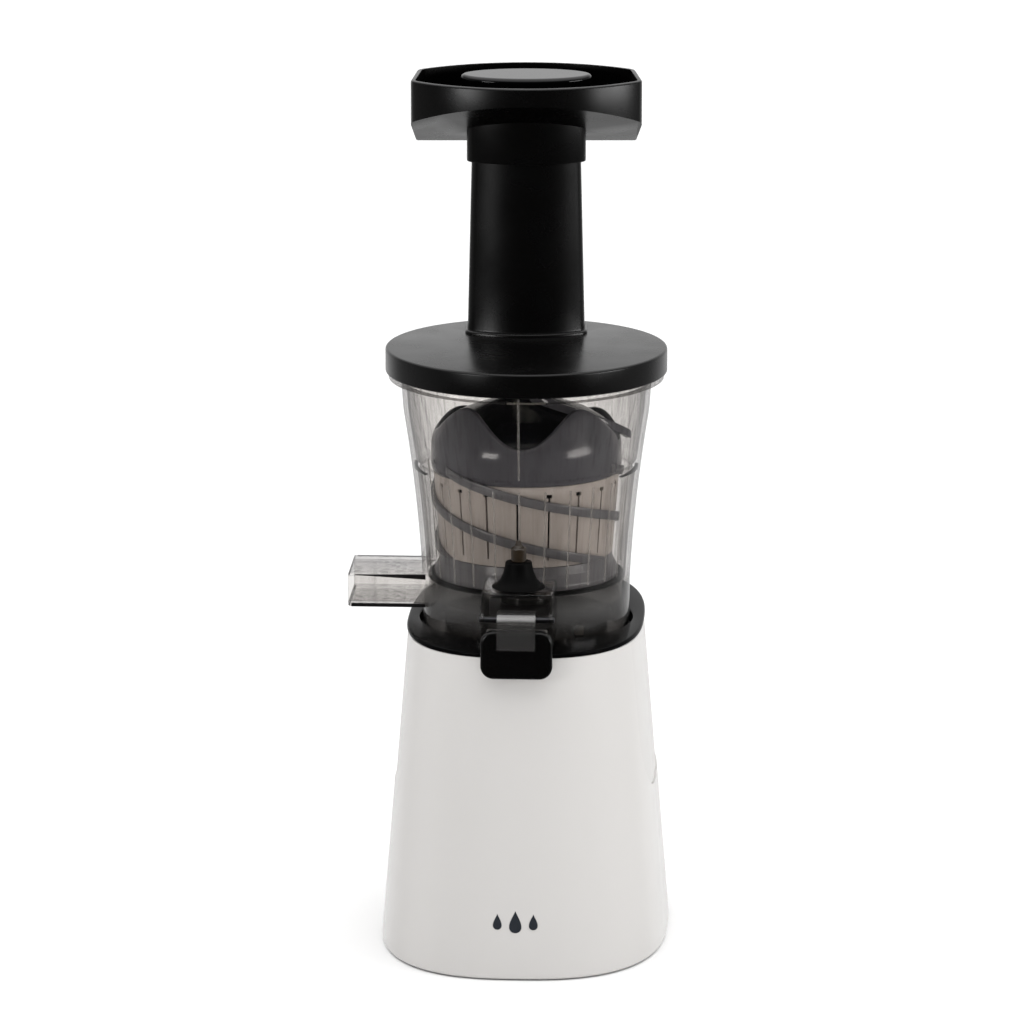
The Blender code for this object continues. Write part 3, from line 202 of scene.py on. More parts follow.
def offset(outline, inset):
    """Moves a counter-clockwise outline inwards."""
    points = []
    for index, (x, y) in enumerate(outline):
        back = Vector(outline[index]) - Vector(outline[index - 1])
        onward = Vector(outline[(index + 1) % len(outline)]) - Vector(outline[index])
        first = Vector((-back.y, back.x)).normalized()
        second = Vector((-onward.y, onward.x)).normalized()
        mitre = (first + second) / (1 + first.dot(second))
        points.append((x + mitre.x * inset, y + mitre.y * inset))
    return points


def upright(across, along, depth):
    return (across, along, depth)


def facing_front(across, height, depth):
    return (across, -depth, height)


def facing_side(along, height, depth):
    return (depth, along, height)


def edge_steps(edge, steps):
    """How far in and how far along each ring of a rounded rim lies."""
    if not edge:
        return [(0.0, 0.0)]
    return [(edge * (1 - math.sin(angle)), edge * (1 - math.cos(angle)))
            for angle in spaced(0.0, math.pi / 2, steps)]


def prism(outline, low, high, edge=0.0, steps=4, turn=upright):
    """A plate of that outline from low to high, with both of its rims rounded by edge."""
    rows = []
    for inset, rise in edge_steps(edge, steps):
        rows.append([turn(*point, low + rise) for point in offset(outline, inset)])
    for inset, drop in reversed(edge_steps(edge, steps)):
        rows.append([turn(*point, high - drop) for point in offset(outline, inset)])
    return capped(rows)


def rod(radius, low, high, centre=(0.0, 0.0), steps=64, edge=0.0, turn=upright):
    return prism(arc(*centre, radius, 0, 360, steps)[:-1], low, high, edge, turn=turn)


def strand(points, widths, heights):
    """A bar of four sides along a line of points, with its own half width and height at each."""
    rows = []
    for index, point in enumerate(points):
        ahead = Vector(points[min(index + 1, len(points) - 1)]) - Vector(points[max(index - 1, 0)])
        side = Vector((ahead.y, -ahead.x, 0)).normalized() * widths[index]
        lift = Vector((0, 0, heights[index]))
        rows.append([tuple(Vector(point) + side * across + lift * up)
                     for across, up in ((1, -1), (1, 1), (-1, 1), (-1, -1))])
    return capped(rows)


def merged(shapes):
    points, faces = [], []
    for more_points, more_faces in shapes:
        faces += [tuple(len(points) + corner for corner in face) for face in more_faces]
        points += more_points
    return points, faces


# Objects.

def make(name, shape, place=ABOUT_AXIS, closed=True):
    points, faces = shape
    mesh = bpy.data.meshes.new(name)
    mesh.from_pydata(points, [], faces)
    cage = bmesh.new()
    cage.from_mesh(mesh)
    bmesh.ops.remove_doubles(cage, verts=cage.verts, dist=0.001)
    if closed:
        bmesh.ops.recalc_face_normals(cage, faces=cage.faces)
    cage.to_mesh(mesh)
    cage.free()
    mesh.transform(place)
    item = bpy.data.objects.new(name, mesh)
    bpy.context.scene.collection.objects.link(item)
    return item


def settle(item):
    """Applies an object's modifiers."""
    bpy.context.view_layer.update()
    graph = bpy.context.evaluated_depsgraph_get()
    mesh = bpy.data.meshes.new_from_object(item.evaluated_get(graph))
    item.modifiers.clear()
    item.data = mesh
    return item


def combine(item, *others, operation="DIFFERENCE", place=ABOUT_AXIS):
    """Cuts other objects or shapes out of an item, or joins them to it."""
    tools = [other if isinstance(other, bpy.types.Object) else make("tool", other, place)
             for other in others]
    for tool in tools:
        step = item.modifiers.new("Combine", "BOOLEAN")
        step.operation = operation
        step.object = tool
        step.solver = "MANIFOLD"
    settle(item)
    for tool in tools:
        bpy.data.objects.remove(tool)
    return item


def show(item, body, slot, node=None, sharp=32.0, look=None):
    """Gives a finished mesh its material and shading, and ties it to the CAD model.

    The look is the one named after the slot, unless another is named.
    """
    item.data.materials.clear()
    item.data.materials.append(LOOKS[look or slot])
    item.data.shade_smooth()
    item.data.set_sharp_from_angle(angle=math.radians(sharp))
    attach(item, body)
    if node:
        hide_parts(node)


# Materials.

LOOKS = {}


class Nodes:
    """A node tree, with short ways to add to it."""

    def __init__(self, tree):
        self.tree = tree

    def feed(self, target, value):
        """Sets an input to a value, or links another node's output to it."""
        if isinstance(value, bpy.types.NodeSocket):
            self.tree.links.new(value, target)
        else:
            target.default_value = (*value, 1.0) if target.type == "RGBA" else value

    def add(self, kind, inputs=(), **settings):
        node = self.tree.nodes.new("ShaderNode" + kind)
        for name, value in settings.items():
            setattr(node, name, value)
        for name, value in dict(inputs).items():
            self.feed(node.inputs[name], value)
        return node

    def calculate(self, way, first, second):
        return self.add("Math", {0: first, 1: second}, operation=way).outputs["Value"]

    def spread(self, value, low, high, source_low=0.3, source_high=0.7, curve="LINEAR"):
        return self.add("MapRange", {"From Min": source_low, "From Max": source_high, "To Min": low,
                                     "To Max": high, "Value": value},
                        interpolation_type=curve).outputs["Result"]


class Look(Nodes):
    """A material, known by its name in LOOKS."""

    def __init__(self, name):
        self.material = LOOKS[name] = bpy.data.materials.new(name)
        self.material.use_nodes = True
        super().__init__(self.material.node_tree)
        self.shader = self.tree.nodes["Principled BSDF"]
        self.place = self.add("TexCoord").outputs["Object"]

    def set(self, **inputs):
        """Feeds the shader's inputs, written with _ for each space."""
        for name, value in inputs.items():
            self.feed(self.shader.inputs[name.replace("_", " ")], value)

    def noise(self, per_metre, detail=3.0, stretch=(1, 1, 1)):
        mapping = self.add("Mapping", {"Scale": stretch, "Vector": self.place})
        return self.add("TexNoise", {"Scale": per_metre, "Detail": detail,
                                     "Vector": mapping.outputs["Vector"]}).outputs["Fac"]

    def blend(self, factor, first, second, way="MIX"):
        return self.add("Mix", {"A": first, "B": second, "Factor": factor}, data_type="RGBA",
                        blend_type=way).outputs["Result"]

    def bump(self, height, depth_mm, target=None):
        bump = self.add("Bump", {"Strength": 1.0, "Distance": depth_mm * MM, "Height": height})
        self.feed(target or self.shader.inputs["Normal"], bump.outputs["Normal"])


def shade(colour, amount):
    return tuple(channel * amount for channel in colour)


def moulded(name, colour, roughness, grain_mm=0.9, depth_mm=0.01, uneven=0.05, spread=0.04,
            specular=0.5):
    """Moulded plastic or rubber: a fine grain, with slow changes in gloss and colour."""
    look = Look(name)
    look.set(Base_Color=look.blend(look.noise(14.0), shade(colour, 1 - uneven),
                                   shade(colour, 1 + uneven)),
             Roughness=look.spread(look.noise(38.0, 5.0), roughness - spread, roughness + spread),
             Specular_IOR_Level=specular)
    look.bump(look.noise(1000.0 / grain_mm, 2.0), depth_mm)


def machined(name, colour, roughness, stretch=(1, 1, 30)):
    """Metal with fine tool marks along one way."""
    look = Look(name)
    marks = look.noise(260.0, 4.0, stretch)
    look.set(Metallic=1.0, Base_Color=look.blend(marks, shade(colour, 0.86), shade(colour, 1.08)),
             Roughness=look.spread(marks, roughness - 0.08, roughness + 0.1))
    look.bump(marks, 0.012)


def wound_copper(name):
    look = Look(name)
    wires = look.add("TexWave", {"Scale": 320.0, "Distortion": 2.0, "Vector": look.place},
                     wave_type="RINGS", rings_direction="SPHERICAL").outputs["Fac"]
    look.set(Metallic=1.0, Base_Color=look.blend(wires, (0.36, 0.14, 0.06), (0.78, 0.38, 0.2)),
             Roughness=look.spread(wires, 0.28, 0.5, 0.0, 1.0))
    look.bump(wires, 0.2)


def circuit_board(name):
    look = Look(name)
    cells = look.add("TexVoronoi", {"Scale": 260.0, "Vector": look.place},
                     feature="DISTANCE_TO_EDGE")
    tracks = look.spread(cells.outputs["Distance"], 1.0, 0.0, 0.02, 0.08)
    look.set(Base_Color=look.blend(tracks, (0.015, 0.12, 0.045), (0.1, 0.3, 0.12)),
             Roughness=look.spread(look.noise(90.0), 0.35, 0.55))
    look.bump(tracks, 0.03)


def clear_plastic(name, tint, edge_tint, streak, mirror_share=0.04, milk_and_painted_highlight=0.0, milk_and_highlight_grey=0.36):
    """Smoky see-through plastic, with a mirror on top and a pale, cloudy share all through it.

    It is darker where the wall turns away and in fine upright lines. Inside the drum's foot, it is
    darker and milkier. On the ribs, the cloudy share is pale: a painted highlight.
    """
    look = Look(name)
    look.tree.nodes.remove(look.shader)
    facing = look.add("LayerWeight", {"Blend": 0.5}).outputs["Facing"]

    def product(first, second):
        return look.calculate("MULTIPLY", first, second)

    def over(factor, first, second):
        return look.add("MixShader", {"Fac": factor, 1: first.outputs[0], 2: second.outputs[0]})

    foot_edge, foot_top, foot_base = (0.0506, 0.0512), (0.166, 0.176), (0.153, 0.164)
    height = look.add("SeparateXYZ", {"Vector": look.place}).outputs["Z"]
    level = look.add("VectorMath", {0: look.place, 1: (1.0, 1.0, 0.0), 2: (-AXIS.x, -AXIS.y, 0.0)},
                     operation="MULTIPLY_ADD")
    radius = look.add("VectorMath", {0: level.outputs["Vector"]}, operation="LENGTH")
    inside = look.spread(radius.outputs["Value"], 1.0, 0.0, *foot_edge)
    foot = product(inside, look.spread(height, 1.0, 0.0, *foot_top))
    foot_milk = product(foot, look.spread(height, 0.0, 0.17, *foot_base))

    white = (1.0, 1.0, 1.0)
    wall = look.blend(look.calculate("POWER", facing, 3.5), tint, edge_tint)
    wall = look.blend(1.0, wall, look.blend(foot, white, (0.62, 0.61, 0.6)), "MULTIPLY")
    sideways = look.spread(facing, 0.25, 1.0, 0.1, 0.6)
    for lines in (look.noise(150.0, 1.0, (1, 1, 0.012)), look.noise(520.0, 0.0, (1, 1, 0.008))):
        dark = product(look.spread(lines, 1.0, 0.0, 0.28, 0.42), sideways)
        wall = look.blend(1.0, wall, look.blend(dark, white, shade(white, streak)), "MULTIPLY")
    clear = look.add("BsdfTransparent", {"Color": wall})
    milky_and_highlight = look.add("BsdfDiffuse", {"Color": shade((1.0, 0.98, 0.96), milk_and_highlight_grey)})
    mirror = look.add("BsdfGlossy", {"Roughness": 0.11})
    look.bump(look.noise(150.0, 1.0, (1, 1, 0.012)), 0.04, mirror.inputs["Normal"])
    shine = look.spread(look.calculate("POWER", facing, 5.0), mirror_share, 0.9, 0.0, 1.0)
    body = over(look.calculate("MAXIMUM", foot_milk, milk_and_painted_highlight), clear, milky_and_highlight)
    look.feed(look.tree.nodes["Material Output"].inputs["Surface"],
              over(shine, body, mirror).outputs[0])


moulded("white_plastic", (0.62, 0.605, 0.59), 0.18, 2.4, 0.003, 0.012, 0.03)
moulded("panel_plastic", (0.6, 0.585, 0.57), 0.22, 1.4, 0.003, 0.012, 0.03)
moulded("black_plastic", (0.0013, 0.0012, 0.0012), 0.26, 0.5, 0.003, 0.1, specular=0.27)
moulded("gloss_black", (0.0015, 0.0015, 0.0016), 0.1, 2.4, 0.002, 0.08, 0.025, 0.3)
moulded("plate_black", (0.0015, 0.0015, 0.0016), 0.14, 2.4, 0.002, 0.08, 0.025, 0.02)
moulded("black_rubber", (0.0012, 0.0012, 0.0012), 0.5, 0.4, 0.004, 0.12, specular=0.05)
moulded("grey_silicone", (0.12, 0.115, 0.11), 0.5, 0.5, 0.008)
moulded("nylon", (0.72, 0.69, 0.6), 0.42, 0.5, 0.006)
moulded("auger_grey", (0.095, 0.093, 0.104), 0.16, 0.7, 0.002, 0.16)
moulded("auger_dark", (0.15, 0.147, 0.155), 0.3, 0.7, 0.003, 0.15)
# Painted shade: near-black for the shadowed hollow under the lid, which also mirrors the black lid.
moulded("dome_painted_shade", (0.004, 0.004, 0.006), 0.2, 0.7, 0.002, 0.1)
moulded("strainer_beige", (0.47, 0.42, 0.385), 0.34, 0.7, 0.004, 0.06)
moulded("amber_plastic", (0.02, 0.013, 0.007), 0.2, 0.7, 0.003)
# Painted shade for the dark lines along the clear drum's edges and its inner ledge.
moulded("painted_edge_shade", (0.006, 0.0055, 0.006), 0.3, 0.7, 0.002)
moulded("mark_grey", (0.02, 0.024, 0.032), 0.35, 0.7, 0.003)
machined("steel", (0.58, 0.58, 0.6), 0.28)
machined("dark_steel", (0.06, 0.06, 0.065), 0.35)
machined("aluminium", (0.68, 0.68, 0.7), 0.38, (1, 1, 8))
machined("iron", (0.22, 0.22, 0.235), 0.46, (1, 1, 60))
wound_copper("copper")
circuit_board("circuit_board")
clear_plastic("smoky_clear", (0.9, 0.89, 0.88), (0.45, 0.44, 0.44), 0.8)
# Painted highlight: the ribs' plastic is milky and pale so that each rib reads as a bright line.
clear_plastic("rib_clear_painted_highlight", (0.9, 0.89, 0.88), (0.5, 0.49, 0.48), 0.95, 0.06, 0.16, 0.8)
clear_plastic("lever_clear", (0.8, 0.79, 0.78), (0.3, 0.29, 0.29), 0.9, 0.14, 0.04, 0.4)


# Base.

def base_half_width(height):
    share = max(BASE_TOP - height, 0.0) / BASE_TOP
    return BASE_HALF_WIDTH_TOP + BASE_FLARE * share


def base_depth(height, front):
    share = min(height / BASE_TOP, 1.0)
    if front:
        return BASE_FRONT_BOTTOM + (BASE_FRONT_TOP - BASE_FRONT_BOTTOM) * share
    return BASE_REAR_BOTTOM + (BASE_REAR_TOP - BASE_REAR_BOTTOM) * share


def base_reach(share):
    """How far the plan's curve reaches one way, at a share of the other way, both up to one."""
    return (1 - abs(share) ** BASE_ROUNDNESS) ** (1 / BASE_ROUNDNESS)


def base_row(height, inset=0.0, level=None):
    """A ring of the base's plan at a height, or that plan drawn at another level."""
    half_width = base_half_width(height) - inset
    row = []
    for across, along in arc(0, 0, 1, 0, 360, BASE_POINTS)[:-1]:
        depth = base_depth(height, along < 0) - inset
        power = abs(across / half_width) ** BASE_ROUNDNESS + abs(along / depth) ** BASE_ROUNDNESS
        reach = power ** (-1 / BASE_ROUNDNESS)
        row.append((across * reach, along * reach, height if level is None else level))
    return row


def base_fullness(point):
    """Below one inside the base's surface, and one on it."""
    across, along, height = point
    return (abs(across / base_half_width(height)) ** BASE_ROUNDNESS
            + abs(along / base_depth(height, along < 0)) ** BASE_ROUNDNESS)


def base_normal(point):
    """The way the base's ideal surface faces at a point."""
    step = 0.05
    slopes = []
    for axis in range(3):
        ahead, behind = list(point), list(point)
        ahead[axis] += step
        behind[axis] -= step
        slopes.append(base_fullness(ahead) - base_fullness(behind))
    return Vector(slopes).normalized()


def follow_base(item, least=0.93):
    """Shades every face that lies along the base's surface as that smooth surface."""
    mesh = item.data
    back = ABOUT_AXIS.inverted()
    corner_normals = [Vector((0, 0, 0))] * len(mesh.loops)
    for face in mesh.polygons:
        for corner in face.loop_indices:
            point = back @ mesh.vertices[mesh.loops[corner].vertex_index].co
            normal = base_normal(point)
            if normal.dot(face.normal) > least:
                corner_normals[corner] = normal
    mesh.normals_split_custom_set(corner_normals)


def base_levels():
    """The heights of the base's rings, each with how far its rounded rims draw it in."""
    foot, rim = 1.6, 0.5
    levels = [(BASE_BOTTOM + rise, inset) for inset, rise in edge_steps(foot, 5)]
    levels += [(level, 0.0) for level in spaced(BASE_BOTTOM + foot, BASE_TOP - rim, 30)[1:-1]]
    return levels + [(BASE_TOP - drop, inset) for inset, drop in reversed(edge_steps(rim, 3))]


def panel_outline(grow, top):
    corner = PANEL_CORNER + grow
    low, high, floor = PANEL_FRONT - grow, PANEL_REAR + grow, PANEL_BOTTOM - grow
    return ([(high, top), (low, top)]
            + arc(low + corner, floor + corner, corner, 180, 270, 16)
            + arc(high - corner, floor + corner, corner, 270, 360, 16))


def pocket(side):
    outline = panel_outline(GAP, BASE_TOP + 10)
    inner, outer = sorted((side * 30.0, side * 90.0))
    cutter = make("pocket", prism(outline, inner, outer, turn=facing_side))
    depth = PANEL_INSET + PANEL_THICKNESS + GAP
    levels = [BASE_BOTTOM - 5 + 8.5 * step for step in range(20)]
    return combine(cutter, capped([base_row(level, depth) for level in levels]))


def build_housing():
    for name, side in (("housing_front", -1), ("housing_rear", 1)):
        rows = [base_row(level, inset) for level, inset in base_levels()]
        shell = make(name + "_shell", grid(rows), closed=False)
        cage = bmesh.new()
        cage.from_mesh(shell.data)
        bmesh.ops.bisect_plane(
            cage, geom=cage.verts[:] + cage.edges[:] + cage.faces[:], clear_inner=True,
            plane_co=(0, AXIS.y + (SEAM_Y + side * GAP / 2) * MM, 0), plane_no=(0, side, 0))
        cage.to_mesh(shell.data)
        cage.free()
        wall = shell.modifiers.new("Wall", "SOLIDIFY")
        wall.thickness = BASE_WALL * MM
        wall.offset = -1.0
        cutters = [pocket(-1), pocket(1)]
        if side > 0:
            window = rectangle((-7.3, SWITCH_MIDDLE - 11.3), (7.3, SWITCH_MIDDLE + 11.3), 1.0)
            cutters.append(prism(window, -120, -80, turn=facing_front))
            cutters.append(rod(6.3, -125, -80, (0, GLAND_HEIGHT), turn=facing_front))
        combine(shell, *cutters)
        show(shell, "root", "white_plastic", name, 30)
        follow_base(shell)


def panel_point(side, along, height, inset):
    """A point of the base's side at a place in the side view."""
    half_width = base_half_width(height) - inset
    depth = base_depth(height, along < 0) - inset
    return (side * half_width * base_reach(along / depth), along, height)


def fine_outline(corners, step):
    """Splits the long straight stretches of an outline."""
    points = []
    for index, corner in enumerate(corners):
        start, end = Vector(corner), Vector(corners[(index + 1) % len(corners)])
        count = max(1, round((end - start).length / step))
        points += [tuple(start.lerp(end, part / count)) for part in range(count)]
    return points


def build_side_panels():
    outline = fine_outline(panel_outline(0.0, BASE_TOP - 0.3), 3.0)
    centre = Vector(((PANEL_FRONT + PANEL_REAR) / 2, (PANEL_BOTTOM + BASE_TOP) / 2))
    rim, back, rings = 0.7, PANEL_INSET + PANEL_THICKNESS, 14
    for name, side in (("side_panel_left", -1), ("side_panel_right", 1)):
        def ring(inset, share, depth):
            return [panel_point(side, *centre.lerp(Vector(point), share), depth)
                    for point in offset(outline, inset)]

        rows = [ring(0.0, share, back) for share in (0.25, 0.5, 0.75, 1.0)]
        rows += [ring(inset, 1.0, PANEL_INSET + drop)
                 for inset, drop in reversed(edge_steps(rim, 4))]
        rows += [ring(rim, 1 - step / rings, PANEL_INSET) for step in range(1, rings)]
        panel = make(name + "_skin", capped(rows))
        show(panel, "root", "panel_plastic", name, 40)
        follow_base(panel, 0.97)


def build_top_plate():
    def rim(inset, level):
        return base_row(BASE_TOP, inset, level)

    def ring(radius, level):
        return circle_row(radius, level, BASE_POINTS)

    skirt = BASE_WALL + 0.4
    low = BASE_TOP + GAP
    rows = [rim(skirt, PLATE_LOW), rim(skirt, low), rim(0.4, low)]
    rows += [rim(inset, low + rise) for inset, rise in edge_steps(0.4, 3)]
    rows += [rim(inset, PLATE_TOP - drop) for inset, drop in reversed(edge_steps(1.1, 6))]
    lip = 0.8
    rows += [ring(WELL_RADIUS + inset, PLATE_TOP - drop) for inset, drop in edge_steps(lip, 5)]
    rows += [ring(WELL_RADIUS - lip + inset, WELL_FLOOR + drop)
             for inset, drop in ((lip, lip), (lip * 0.7, lip * 0.3), (0.0, 0.0))]
    rows += [ring(12.4, WELL_FLOOR), ring(12.0, WELL_FLOOR - 0.4), ring(12.0, PLATE_LOW)]
    plate = make("top_plate_gloss", grid(rows, close_rows=True))
    plunger = middle("interlock_plunger") / MM
    place = (plunger.x - AXIS.x / MM, plunger.y - AXIS.y / MM)
    combine(plate, rod(2.5, 130, 170, place, 32))
    show(plate, "root", "gloss_black", "top_plate", 30, "plate_black")


def build_feet():
    profile = rounded([(0, 5.4), (2.5, 5.4), (2.5, 2.7), (9.0, 2.7, 0.5), (8.6, 0, 0.8), (6.0, 0),
                       (5.4, 0.5), (0, 0.5)])
    for node in ("foot_front_left", "foot_front_right", "foot_rear_left", "foot_rear_right"):
        place = middle(node)
        foot = make(node + "_pad", lathe(profile, 64),
                    Matrix.Translation((place.x, place.y, 0)) @ Matrix.Scale(MM, 4))
        show(foot, "root", "black_rubber", node)


def drop_outline(size):
    """A drop of juice: round below and pointed above."""
    points = []
    for angle in spaced(0.0, 2 * math.pi, 40)[:-1]:
        width = math.sin(angle) * math.sin(angle / 2) ** 1.6
        points.append((-size * width, size * 1.25 * math.cos(angle)))
    return points


def build_mark():
    """Three plain drops on the front of the base."""
    for number, (across, size) in enumerate(((-8.5, 3.0), (0.0, 4.2), (8.5, 3.0)), 1):
        rows = []
        for proud, share in ((-0.3, 1.0), (0.12, 1.0), (0.16, 0.9), (0.16, 0.4)):
            row = []
            for x, z in drop_outline(size * share):
                x, z = x + across, z + MARK_HEIGHT
                along = base_depth(z, True) * base_reach(x / base_half_width(z))
                row.append((x, -along - proud, z))
            rows.append(row)
        show(make(f"mark_drop_{number}", capped(rows)), "root", "black_plastic", look="mark_grey")


def build_switch_and_gland():
    low, high = SWITCH_MIDDLE - 11, SWITCH_MIDDLE + 11
    body = make("switch_case", prism(rectangle((-7, low), (7, high), 0.8), -103.0, -86,
                                     turn=facing_front))
    bezel = rectangle((-9, low - 2), (9, high + 2), 1.6)
    combine(body, prism(bezel, -103.9, -102.8, 0.35, turn=facing_front), operation="UNION")
    room = rectangle((-5.6, low + 2), (5.6, high - 2), 0.6)
    combine(body, prism(room, -110, -95, turn=facing_front))
    show(body, "root", "black_plastic", "switch_body")

    side = rounded([(3.4, -7.6, 0.8), (2.6, 0.0, 6.0), (3.4, 7.6, 0.8), (-3.0, 7.6, 0.6),
                    (-3.0, -7.6, 0.6)])
    turn = Matrix.Translation((0, 100.2, SWITCH_MIDDLE)) @ Matrix.Rotation(math.radians(8), 4, "X")
    show(make("rocker_key", prism(side, -5.2, 5.2, 0.4, turn=facing_side), ABOUT_AXIS @ turn),
         "rocker", "gloss_black", "switch_rocker")

    profile = rounded([(6.0, 103.9, 0.7), (6.0, 98.6), (8.5, 98.6, 0.4), (8.5, 94.0, 0.6),
                       (6.0, 93.0), (6.0, 88.0), (3.0, 88.0), (3.0, 103.9, 0.6)])
    lay = Matrix.Translation((0, 0, GLAND_HEIGHT)) @ Matrix.Rotation(math.radians(-90), 4, "X")
    show(make("gland_bush", lathe(profile, 64), ABOUT_AXIS @ lay),
         "root", "black_rubber", "cord_gland")


# Drum group.

def drum_radius(height):
    """The drum's outer wall: upright low down, flaring in a gentle curve, then nearly upright."""
    rise = min(max(height, DRUM_FLARE_START), DRUM_FLARE_END) - DRUM_FLARE_START
    above = max(height - DRUM_FLARE_END, 0.0)
    return 49.5 + 0.05 * rise + 0.00069 * rise * rise + 0.07 * above


def wall_line(low, high, wall, count):
    """Points down the drum's wall, or a surface inside it."""
    return [(drum_radius(height) - wall, height) for height in spaced(high, low, count)]


def drum_outside():
    flange = [(drum_radius(FLANGE_HIGH), FLANGE_HIGH, 0.3), (FLANGE_RADIUS, FLANGE_HIGH, 0.6),
              (FLANGE_RADIUS, FLANGE_LOW, 0.6), (drum_radius(FLANGE_LOW), FLANGE_LOW, 0.5)]
    return ([(0, DRUM_RIM), (drum_radius(DRUM_RIM) - 0.5, DRUM_RIM),
             (drum_radius(DRUM_RIM), DRUM_RIM - 0.5)]
            + rounded([(drum_radius(DRUM_RIM), 279.0), *flange, (drum_radius(269.0), 269.0)])
            + wall_line(156.0, 268.0, 0.0, 34)
            + rounded([(49.4, 155.0), (48.9, 150.6, 4.0), (44.6, DRUM_BOTTOM, 1.0),
                       (0, DRUM_BOTTOM)])[1:])


def drum_cavity():
    step_radius = 45.8
    return ([(0, DRUM_RIM + 5), (drum_radius(DRUM_RIM) - DRUM_WALL, DRUM_RIM + 5)]
            + wall_line(232.0, DRUM_RIM, DRUM_WALL, 14)
            + [(51.0, 230.2), (50.6, 229.6), (50.6, 227.2), (51.0, 226.6)]
            + wall_line(175.0, 225.0, DRUM_WALL, 14)
            + [(47.0, 173.6), (step_radius + 0.3, 173.2), (step_radius, 172.6),
               (step_radius, DRUM_FLOOR + 1.2), (step_radius - 1.2, DRUM_FLOOR),
               (12.0, DRUM_FLOOR), (12.0, 167.0), (0, 167.0)])


def build_drum():
    drum = make("drum_clear", lathe(drum_outside(), 192))
    spout = rectangle((-SPOUT_HALF_WIDTH, SPOUT_LOW), (SPOUT_HALF_WIDTH, SPOUT_HIGH), 2.4)
    duct = rectangle((-DUCT_HALF_WIDTH, DUCT_LOW), (DUCT_HALF_WIDTH, DUCT_HIGH), 1.6)
    added = [prism(spout, -SPOUT_END, -30, 0.5, turn=facing_side),
             prism(duct, 30, DUCT_END, 0.5, turn=facing_front)]
    for side in (-1, 1):
        inner, outer = sorted((side * (DUCT_HALF_WIDTH - DUCT_WALL), side * DUCT_HALF_WIDTH))
        added.append(rod(4.2, inner, outer, PIVOT, 48, 0.3, facing_side))
    combine(drum, *added, operation="UNION")
    hollow = ((0, 152.2), (12.0, 152.2), (12.0, DRUM_UNDERSIDE), (38.0, DRUM_UNDERSIDE),
              (39.0, DRUM_UNDERSIDE - 1), (39.0, 140), (0, 140))
    inner_spout = offset(spout, DUCT_WALL)
    inner_spout = [(along, max(height, DRUM_FLOOR)) for along, height in inner_spout]
    inner_spout = [point for index, point in enumerate(inner_spout)
                   if point != inner_spout[index - 1]]
    inner_duct = rectangle((-DUCT_HALF_WIDTH + DUCT_WALL, DUCT_LOW + 2),
                           (DUCT_HALF_WIDTH - DUCT_WALL, DUCT_HIGH - DUCT_WALL), 1.0)
    combine(drum, lathe(drum_cavity(), 192), lathe(hollow, 192), rod(9.5, 140, 180, steps=96),
            prism(inner_spout, -SPOUT_END - 5, -41, turn=facing_side),
            prism(inner_duct, 42.5, DUCT_END + 10, turn=facing_front),
            rod(1.7, -20, 20, PIVOT, 32, turn=facing_side))
    show(drum, "drum_group", "smoky_clear", "drum", 30)


def drum_rib(angle, low, high):
    """A fine rounded rib that stands upright on the inside of the drum's wall."""
    across = Vector((-math.sin(angle), math.cos(angle)))
    outwards = Vector((math.cos(angle), math.sin(angle)))
    section = [(0.02 + x, y) for x, y in arc(0, 0, RIB_BULGE, -90, 90, 8)]
    rows = []
    for height in spaced(low, high, RIB_STEPS):
        wall = drum_radius(height) - DRUM_WALL
        rows.append([(*(outwards * (wall - inwards) + across * wide), height)
                     for inwards, wide in section])
    return capped(rows)


def build_drum_ribs():
    """A row of short ribs round the strainer, and a tall one above it in front."""
    places = [(number, *RIB_SPAN) for number in range(RIB_COUNT)] + [(0, *TALL_RIB_SPAN)]
    first = math.radians(FIRST_RIB_DEG)
    ribs = make("drum_ribs", merged([drum_rib(first + 2 * math.pi * number / RIB_COUNT, low, high)
                                     for number, low, high in places]))
    # The ribs' pale, milky look is a painted highlight along each rib.
    show(ribs, "drum_group", "smoky_clear", sharp=50, look="rib_clear_painted_highlight")


def build_drum_edge_shade():
    """Painted shade: dark bars set inside the drum's plastic, where its edges swallow the light."""
    end, side = 0.5 - SPOUT_END, SPOUT_HALF_WIDTH - 0.8
    low, high, root = SPOUT_LOW + 1.0, SPOUT_HIGH, -47.0
    bars = [((end + 1, -side, low), (root, -side, low), (0.5, 0.5), (0.8, 0.8)),
            ((end + 3, -side, high - 0.8), (root, -side, high - 1.5), (0.4, 0.6), (0.15, 1.2)),
            ((end + 1, side, high - 0.6), (root - 3, side, high - 0.6), (0.3, 0.3), (0.3, 0.3)),
            ((end, -side, high - 0.7), (end, side, high - 0.7), (0.2, 0.2), (0.3, 0.3)),
            ((end, -side, low), (end, side, low), (0.2, 0.2), (0.3, 0.3))]
    shapes = [strand((start, stop), widths, heights) for start, stop, widths, heights in bars]
    steps = 24
    for start, stop in ((178.0, 209.0), (2.0, -29.0)):
        ledge = [(*point, 228.4) for point in arc(0, 0, 52.6, start, stop, steps)]
        shapes.append(strand(ledge, [0.8] * len(ledge), spaced(0.9, 0.2, steps)))
    show(make("drum_painted_edge_shade", merged(shapes)),
         "drum_group", "smoky_clear", sharp=40, look="painted_edge_shade")


def build_drum_seal():
    profile = rounded([(8.4, 167.2, 0.3), (9.2, 166.2), (9.2, 154.0, 0.4), (6.6, 154.0, 0.3),
                       (6.6, 167.2, 0.3)])
    show(make("drum_seal_ring", lathe(profile, 96)),
         "drum_carrier", "grey_silicone", "drum_shaft_seal")


